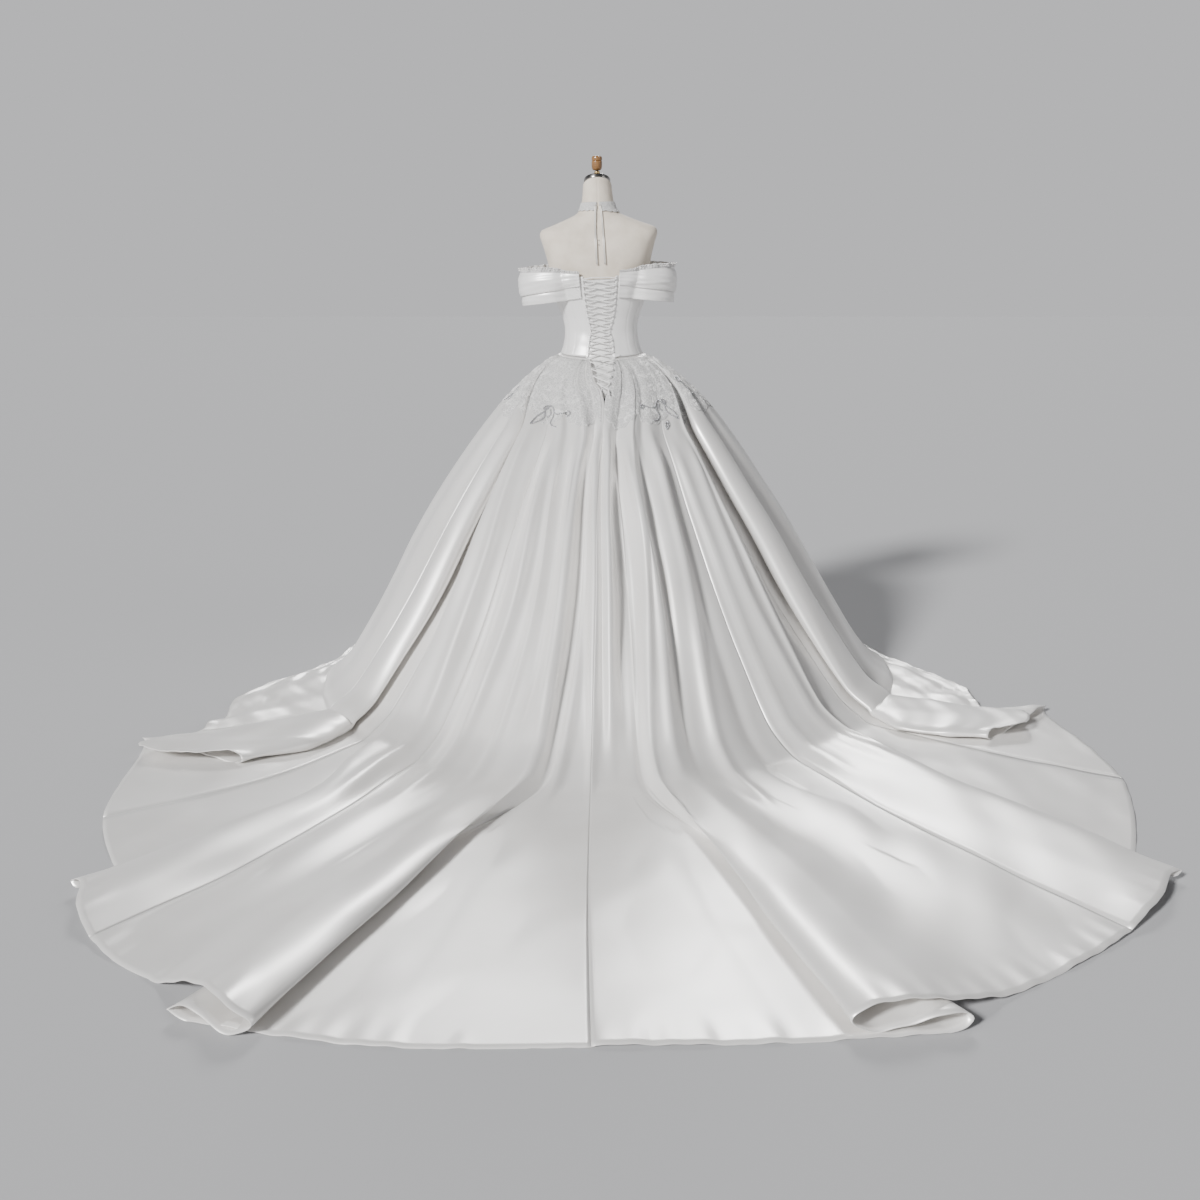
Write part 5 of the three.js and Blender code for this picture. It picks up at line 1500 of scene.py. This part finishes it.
def clouded_finish(name, shade, light, roughness, scale):
    """A bead's glossy finish, unevenly clouded from one tone to the other."""
    finish = new_finish(name, light, roughness)
    clouds = noise_on(finish, object_place(finish), Scale=scale, Detail=2.0)
    tone_between(finish, clouds, shade, light)
    return finish


TRIM_WAVES = 12
TRIM_WAVE = 4.6
TRIM_STAND = 15
TRIM_FLAT_SHARE = 0.5
TRIM_SCALLOP = 1.8
TRIM_COLUMNS = 30
TRIM_ROWS = 9
TRIM_THICKNESS = 0.8
LACE_TONE = (0.86, 0.85, 0.84)
PEARL_RADIUS = 1.9
PEARL_GAP = 9
PEARL_SEAT = 0.1
# The rows of pearls: the trim's row, and how far along the first pearl starts
PEARL_ROWS = [(1, 0.0), (4, 0.5)]
edging_lace = lace_finish("edging_lace", LACE_TONE, 90.0, 0.0012)
pearl = clouded_finish("seed_pearl", (0.76, 0.74, 0.71), (0.90, 0.88, 0.86), 0.18, 120.0)
shader_of(pearl).inputs["Coat Weight"].default_value = 0.6
pearl_parts = []
for word, side in (("left", -1), ("right", 1)):
    along = np.linspace(0, 1, TRIM_WAVES * TRIM_COLUMNS + 1)
    u, v = np.meshgrid(along, np.linspace(0, 1, TRIM_ROWS))
    at = (1 - u if side < 0 else u) * BAND_LAST
    loose = mix(0.15, 1, smooth_step((at - 0.6) / 1.8))
    stand = 1 - v
    waves = at / BAND_LAST * TRIM_WAVES * 2 * math.pi
    scallop = TRIM_SCALLOP * (np.abs(np.sin(waves)) * stand - 1)
    height = TRIM_STAND * mix(TRIM_FLAT_SHARE, 1, loose) + scallop
    z = band_top(at) + SEAM_GAP + stand * height
    wave = (np.sin(waves) + 0.55 * np.sin(waves * 2.4 + 1)) * TRIM_WAVE * loose * stand
    out = UPPER_OUT + wave + stand * loose
    trim_grid = band_point(side, at, z, out).reshape(*at.shape, 3)
    trim = cloth_piece(f"lace_trim_{word}_cloth", trim_grid, edging_lace, TRIM_THICKNESS)
    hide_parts(f"lace_trim_{word}")
    for row, phase in PEARL_ROWS:
        steps = np.linalg.norm(np.diff(trim_grid[row], axis=0), axis=-1)
        travel = np.concatenate([[0], np.cumsum(steps)])
        outward = normals_of(trim_grid)[row]
        for place in np.arange((1 + phase) * PEARL_GAP, travel[-1], PEARL_GAP):
            column = int(np.searchsorted(travel, place))
            seat = trim_grid[row, column] + outward[column] * (PEARL_RADIUS + PEARL_SEAT)
            pearl_parts.append(bead(seat, PEARL_RADIUS))
pearl_corners, pearl_faces = joined(pearl_parts)
pearls = add_piece("trim_pearls", pearl_corners, pearl_faces, pearl)


# Choker: a corded lace band round the neck with a scalloped edge, open at the nape, where its
# ribbon ties start. It sits a little lower on the right.
CHOKER_GAP = 4
CHOKER_SCALLOPS = 18
CHOKER_TOP = 1529
CHOKER_LOW = 1505
CHOKER_OUT = 2.8
CHOKER_SCALLOP = 3
CHOKER_RELIEF = 0.5
DROOP = 7
DROOP_OUT = 1.6
DROOP_ANGLE = 62
DROOP_WIDTH = 42
CHOKER_TONE = (0.86, 0.85, 0.835)
choker_lace = lace_finish("choker_lace", CHOKER_TONE, 130.0, 0.0012)
u, v = np.meshgrid(np.linspace(0, 1, CHOKER_SCALLOPS * 14 + 1), np.linspace(0, 1, 12))
angle = mix(CHOKER_GAP, 360 - CHOKER_GAP, u)
scallop = np.abs(np.sin(u * CHOKER_SCALLOPS * math.pi)) * CHOKER_SCALLOP
corded_up = CHOKER_RELIEF * np.sin(u * CHOKER_SCALLOPS * 2 * math.pi) * np.sin(v * 2 * math.pi)
drooping = v * dip(angle - DROOP_ANGLE, DROOP_WIDTH)
z = mix(CHOKER_TOP, CHOKER_LOW - scallop, v) - DROOP * drooping
choker_grid = lean(form_point(angle, z, CHOKER_OUT + corded_up + DROOP_OUT * drooping))
choker = cloth_piece("choker_lace_band", choker_grid, choker_lace, thickness=1)
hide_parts("choker")


# Nape ties: two sheer ribbon tails that hang from the choker down the form's back, each with
# finely rolled edges, and two pins in the form's back seam between them.
# The ties' ways down the back: height, and the left and right tail's X
TIE_ROUTE = [
    (1520, -6, 6),
    (1500, -8, 9),
    (1480, -9, 11),
    (1462, -10, 13),
    (1444, -10, 14),
    (1420, -10, 15),
    (1392, -9, 16),
    (1364, -9, 17),
    (1336, -8, 18),
]
TIE_WIDTH = 6
TIE_OUT = 5
TIE_SPACING = 7
TIE_THICKNESS = 0.5
ROLLED_EDGE = 0.35
ROLLED_WIDTH = 0.9
RIBBON_SHADE = (0.60, 0.57, 0.52)
RIBBON_LIGHT = (0.68, 0.65, 0.60)
ribbon = satin_finish("sheer_ribbon", RIBBON_SHADE, RIBBON_LIGHT, 0.1)
for column, word in ((1, "left"), (2, "right")):
    route_z = np.array([row[0] for row in TIE_ROUTE], float)
    route_x = np.array([row[column] for row in TIE_ROUTE], float)
    route = lean(form_point(angle_at_x(route_x, route_z), route_z, TIE_OUT))
    line = smooth_path(route, TIE_SPACING)
    across = np.linspace(-0.5, 0.5, 7) * TIE_WIDTH
    downward = np.gradient(line, axis=0)
    sideways = np.stack([-downward[:, 2], np.zeros(len(line)), downward[:, 0]], -1)
    sideways /= np.linalg.norm(sideways, axis=-1, keepdims=True)
    tie_grid = line[:, None] + sideways[:, None] * across[None, :, None]
    tie_grid[..., 1] -= ROLLED_EDGE * dip(np.abs(across) - TIE_WIDTH / 2, ROLLED_WIDTH)
    tie = cloth_piece(f"nape_tie_{word}_ribbon", tie_grid, ribbon, TIE_THICKNESS)
    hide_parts(f"nape_tie_{word}")
pin_steel = brushed("pin_steel", (0.25, 0.24, 0.23), 0.3, (1, 1, 1))
PIN_HEIGHTS = (1410, 1396)
PIN_OUT = 1.2
PIN_RADIUS = 1.7
pin_parts = [bead(lean(form_point(0, float(z), PIN_OUT)), PIN_RADIUS) for z in PIN_HEIGHTS]
pin_corners, pin_faces = joined(pin_parts)
pins = add_piece("seam_pins", pin_corners, pin_faces, pin_steel)


# Hip lace: a tonal lace applique sewn over the top of the skirt, with corded blossoms and
# leaves and a scalloped lower edge. Sprigs of silver beads are sewn along that edge.
LACE_STEP_ACROSS = 0.0045
LACE_FROM = 0.006
LACE_DROP = 0.14
LACE_SCALLOP = 0.036
SCALLOP_WIDTH = 0.115
LACE_LIFT = 1.05
LACE_ENDS = 112
LACE_DOWN = 40
LACE_THICKNESS = 0.5
BLOSSOM_RELIEF = 0.35
HIP_LACE_TONE = (0.84, 0.83, 0.815)
hip_lace = lace_finish("hip_lace", HIP_LACE_TONE, 36.0, 0.003)
hip_azimuth = skirt_azimuth[hip_row]
half_round = len(skirt_lines) / 2
for word, side in (("right", 1), ("left", -1)):
    on_side = side * (half_round - position[0]) > 0
    chosen = (side * hip_azimuth >= 0) & (side * hip_azimuth <= LACE_ENDS) & on_side
    columns = np.nonzero(chosen)[0]
    columns = np.arange(columns[0], columns[-1] + 1)
    even = np.arange(round_hip[columns[0]], round_hip[columns[-1]], LACE_STEP_ACROSS)
    picked = np.unique(np.searchsorted(round_hip[columns], even) + columns[0])
    along_edge = round_hip[picked] / SCALLOP_WIDTH * math.pi
    edge_drop = LACE_DROP + LACE_SCALLOP * np.abs(np.sin(along_edge)) ** 0.6
    edge_drop += 0.2 * LACE_SCALLOP * np.abs(np.sin(along_edge * 4))
    share = np.linspace(0, 1, LACE_DOWN)[:, None]
    lace_drop = mix(LACE_FROM, edge_drop[None, :], share)
    lace_grid = np.zeros((*lace_drop.shape, 3))
    lace_square = np.zeros_like(lace_grid)
    for k, column in enumerate(picked):
        for laid, source in ((lace_grid, skirt_grid), (lace_square, skirt_square)):
            for axis in range(3):
                down_column = source[:, column, axis]
                laid[:, k, axis] = np.interp(lace_drop[:, k], SKIRT_DROPS, down_column)
    across_m = np.broadcast_to(round_hip[picked][None, :], lace_drop.shape)
    down_m = np.interp(lace_drop, SKIRT_DROPS, down_skirt)
    blossom = np.sin(across_m * 190) * np.sin(down_m * 170 + np.sin(across_m * 60))
    blossom = BLOSSOM_RELIEF * np.maximum(blossom, 0) * smooth_step((1 - share) * 12)
    lace_grid = lace_grid + lace_square * (LACE_LIFT + blossom)[..., None]
    lace_cut = np.stack([across_m, -down_m], -1)
    applique = cloth_piece(
        f"hip_lace_{word}",
        lace_grid,
        hip_lace,
        thickness=LACE_THICKNESS,
        square=lace_square,
        cut=lace_cut,
    )

# What is sewn over the lace is laid on the skirt's outside, found by a ray from outside it
SEWN_ON_TO = 0.32
PROBE = 120
NO_CLOTH_OUT = 20
SLOPE_STEP = 0.01
top_rows = int(np.searchsorted(SKIRT_DROPS, SEWN_ON_TO))
top_corners = skirt_grid[:top_rows].reshape(-1, 3)
wide = skirt_grid.shape[1]
top_faces = [
    (r * wide + c, (r + 1) * wide + c, (r + 1) * wide + c + 1, r * wide + c + 1)
    for r in range(top_rows - 1)
    for c in range(wide - 1)
]
skirt_surface = BVHTree.FromPolygons(top_corners.tolist(), top_faces)


def on_skirt(azimuth, v, out):
    """The point on the skirt's outermost fold at an azimuth and a drop."""
    radius, height, square_out, square_up = skirt_base(azimuth, v, floor_radius(azimuth), 0)
    s = math.sin(math.radians(azimuth))
    c = math.cos(math.radians(azimuth))
    outward = Vector((square_out * s, -square_out * c, float(square_up)))
    base = lean(np.array([[radius * s, -radius * c, float(height)]]))[0]
    hit, square, _, _ = skirt_surface.ray_cast(Vector(base) + outward * PROBE, -outward)
    if hit is None:
        return base + np.array(outward) * (NO_CLOTH_OUT + out)
    square = square if square.dot(outward) > 0 else -square
    return np.array(hit + square * out)


def laid_on_skirt(azimuth, v, strokes_mm, out, spacing, turn=0.0, size=1.0, mirror=1):
    """Strokes drawn flat in millimetres, laid on the skirt round one place."""
    radius, height, _, _ = skirt_base(azimuth, v, floor_radius(azimuth), 0)
    below = skirt_base(azimuth, v + SLOPE_STEP, floor_radius(azimuth), 0)
    slope = math.hypot(float(below[0] - radius), float(below[1] - height)) / SLOPE_STEP
    laid = []
    for stroke in strokes_mm:
        flat = np.array([(x, y, 0.0) for x, y in stroke]) * size
        flat = smooth_path(flat, spacing)
        x = flat[:, 0] * mirror * math.cos(turn) - flat[:, 1] * math.sin(turn)
        y = flat[:, 0] * mirror * math.sin(turn) + flat[:, 1] * math.cos(turn)
        azimuths = azimuth + np.degrees(x / float(radius))
        laid.append([on_skirt(float(a), float(v + w / slope), out) for a, w in zip(azimuths, y)])
    return laid


# One petal: shares of its reach outwards and aside
PETAL = [(0.3, 0), (0.7, 0.28), (1, 0.2), (1, -0.2), (0.7, -0.28), (0.3, 0)]


def petal_strokes(count, reach):
    """A blossom: round petals about a small ring."""
    strokes = []
    for k in range(count):
        turn = k * 2 * math.pi / count
        petal = []
        for along, aside in PETAL:
            x = reach * (along * math.cos(turn) - aside * math.sin(turn))
            y = reach * (along * math.sin(turn) + aside * math.cos(turn))
            petal.append((x, y))
        strokes.append(petal)
    return strokes


LEAF = [
    [(0, -16), (6, -5), (5, 7), (0, 18), (-5, 7), (-6, -5), (0, -16)],
    [(0, -14), (1, 0), (0, 16)],
]
BLOSSOM_ROWS = 5
BLOSSOM_TOP = 0.022
BLOSSOM_ROW_GAP = 0.031
BLOSSOM_GAP = 40
BLOSSOM_OUT = 1.6
BLOSSOM_AT = 90.0
PETALS = 5
PETAL_REACH = 14
CORDING_STEP = 3.4
CORDING_RADIUS = 1.1
CORDING_SIDES = 4
BESIDE_LACING = 9
BESIDE_LACING_TOP = 40
scatter = np.random.default_rng(7)
corded_parts = []
for row in range(BLOSSOM_ROWS):
    v = BLOSSOM_TOP + row * BLOSSOM_ROW_GAP
    radius = float(skirt_base(BLOSSOM_AT, v, floor_radius(BLOSSOM_AT), 0)[0])
    step = math.degrees(BLOSSOM_GAP / radius)
    count = int(LACE_ENDS * 2 / step)
    beside_lacing = BESIDE_LACING + BESIDE_LACING_TOP * max(SLIT_DROP - v, 0) / SLIT_DROP
    for k in range(count):
        azimuth = -LACE_ENDS + (k + 0.5 * (row % 2)) * step + scatter.uniform(-0.2, 0.2) * step
        turn = scatter.uniform(0, 2 * math.pi)
        size = scatter.uniform(0.8, 1.1)
        if abs(azimuth) < beside_lacing:
            continue
        strokes = petal_strokes(PETALS, PETAL_REACH) if (k + row) % 3 else LEAF
        laid = laid_on_skirt(azimuth, v, strokes, BLOSSOM_OUT, CORDING_STEP, turn, size)
        for path in laid:
            corded_parts.append(cord_along(np.array(path), CORDING_RADIUS, CORDING_SIDES))
corded_corners, corded_faces = joined(corded_parts)
corded = add_piece("hip_lace_cording", corded_corners, corded_faces, satin_cord)

SPRIG = [
    [(-30, -4), (-20, -14), (-8, -8), (2, 6), (14, 10), (26, 2)],
    [(0, 4), (2, 18), (0, 32), (8, 42), (20, 46)],
    [(-28, 4), (-22, 20), (-28, 38), (-38, 52), (-38, 34), (-34, 18), (-28, 4)],
    [(26, 2), (32, -6), (40, 0), (34, 8), (26, 2)],
    [(-34, -10), (-28, -14), (-24, -6), (-30, 0), (-36, -4), (-34, -10)],
    [(-14, -2), (-8, 10), (-14, 18)],
]
BUD = [
    [(0, 0), (8, -6), (12, 4), (4, 12), (-4, 6), (0, 0)],
    [(4, 12), (10, 26), (12, 42), (18, 56)],
    [(2, 14), (-4, 28), (-6, 44)],
]
# Where each sprig is sewn: azimuth, drop, its strokes, its side, its turn and its size
SPRIG_PLACES = [
    (-26, 0.145, SPRIG, 1, 0.0, 1.35),
    (31, 0.130, SPRIG, -1, 0.0, 1.35),
    (-76, 0.108, BUD, -1, 0.1, 1.1),
    (66, 0.078, BUD, 1, -0.2, 1.3),
    (33, 0.186, LEAF, 1, 0.5, 1.0),
]
BEAD_RADIUS = 3.0
BEAD_GAP = 5.6
BEAD_OUT = 3.2
silver = clouded_finish("silver_bead", (0.26, 0.26, 0.27), (0.66, 0.66, 0.68), 0.22, 300.0)
shader_of(silver).inputs["Metallic"].default_value = 0.7
bead_parts = []
for azimuth, v, strokes, mirror, turn, size in SPRIG_PLACES:
    for path in laid_on_skirt(azimuth, v, strokes, BEAD_OUT, BEAD_GAP, turn, size, mirror):
        bead_parts += [bead(np.array(place), BEAD_RADIUS) for place in path]
bead_corners, bead_faces = joined(bead_parts)
beads = add_piece("beaded_sprigs", bead_corners, bead_faces, silver)
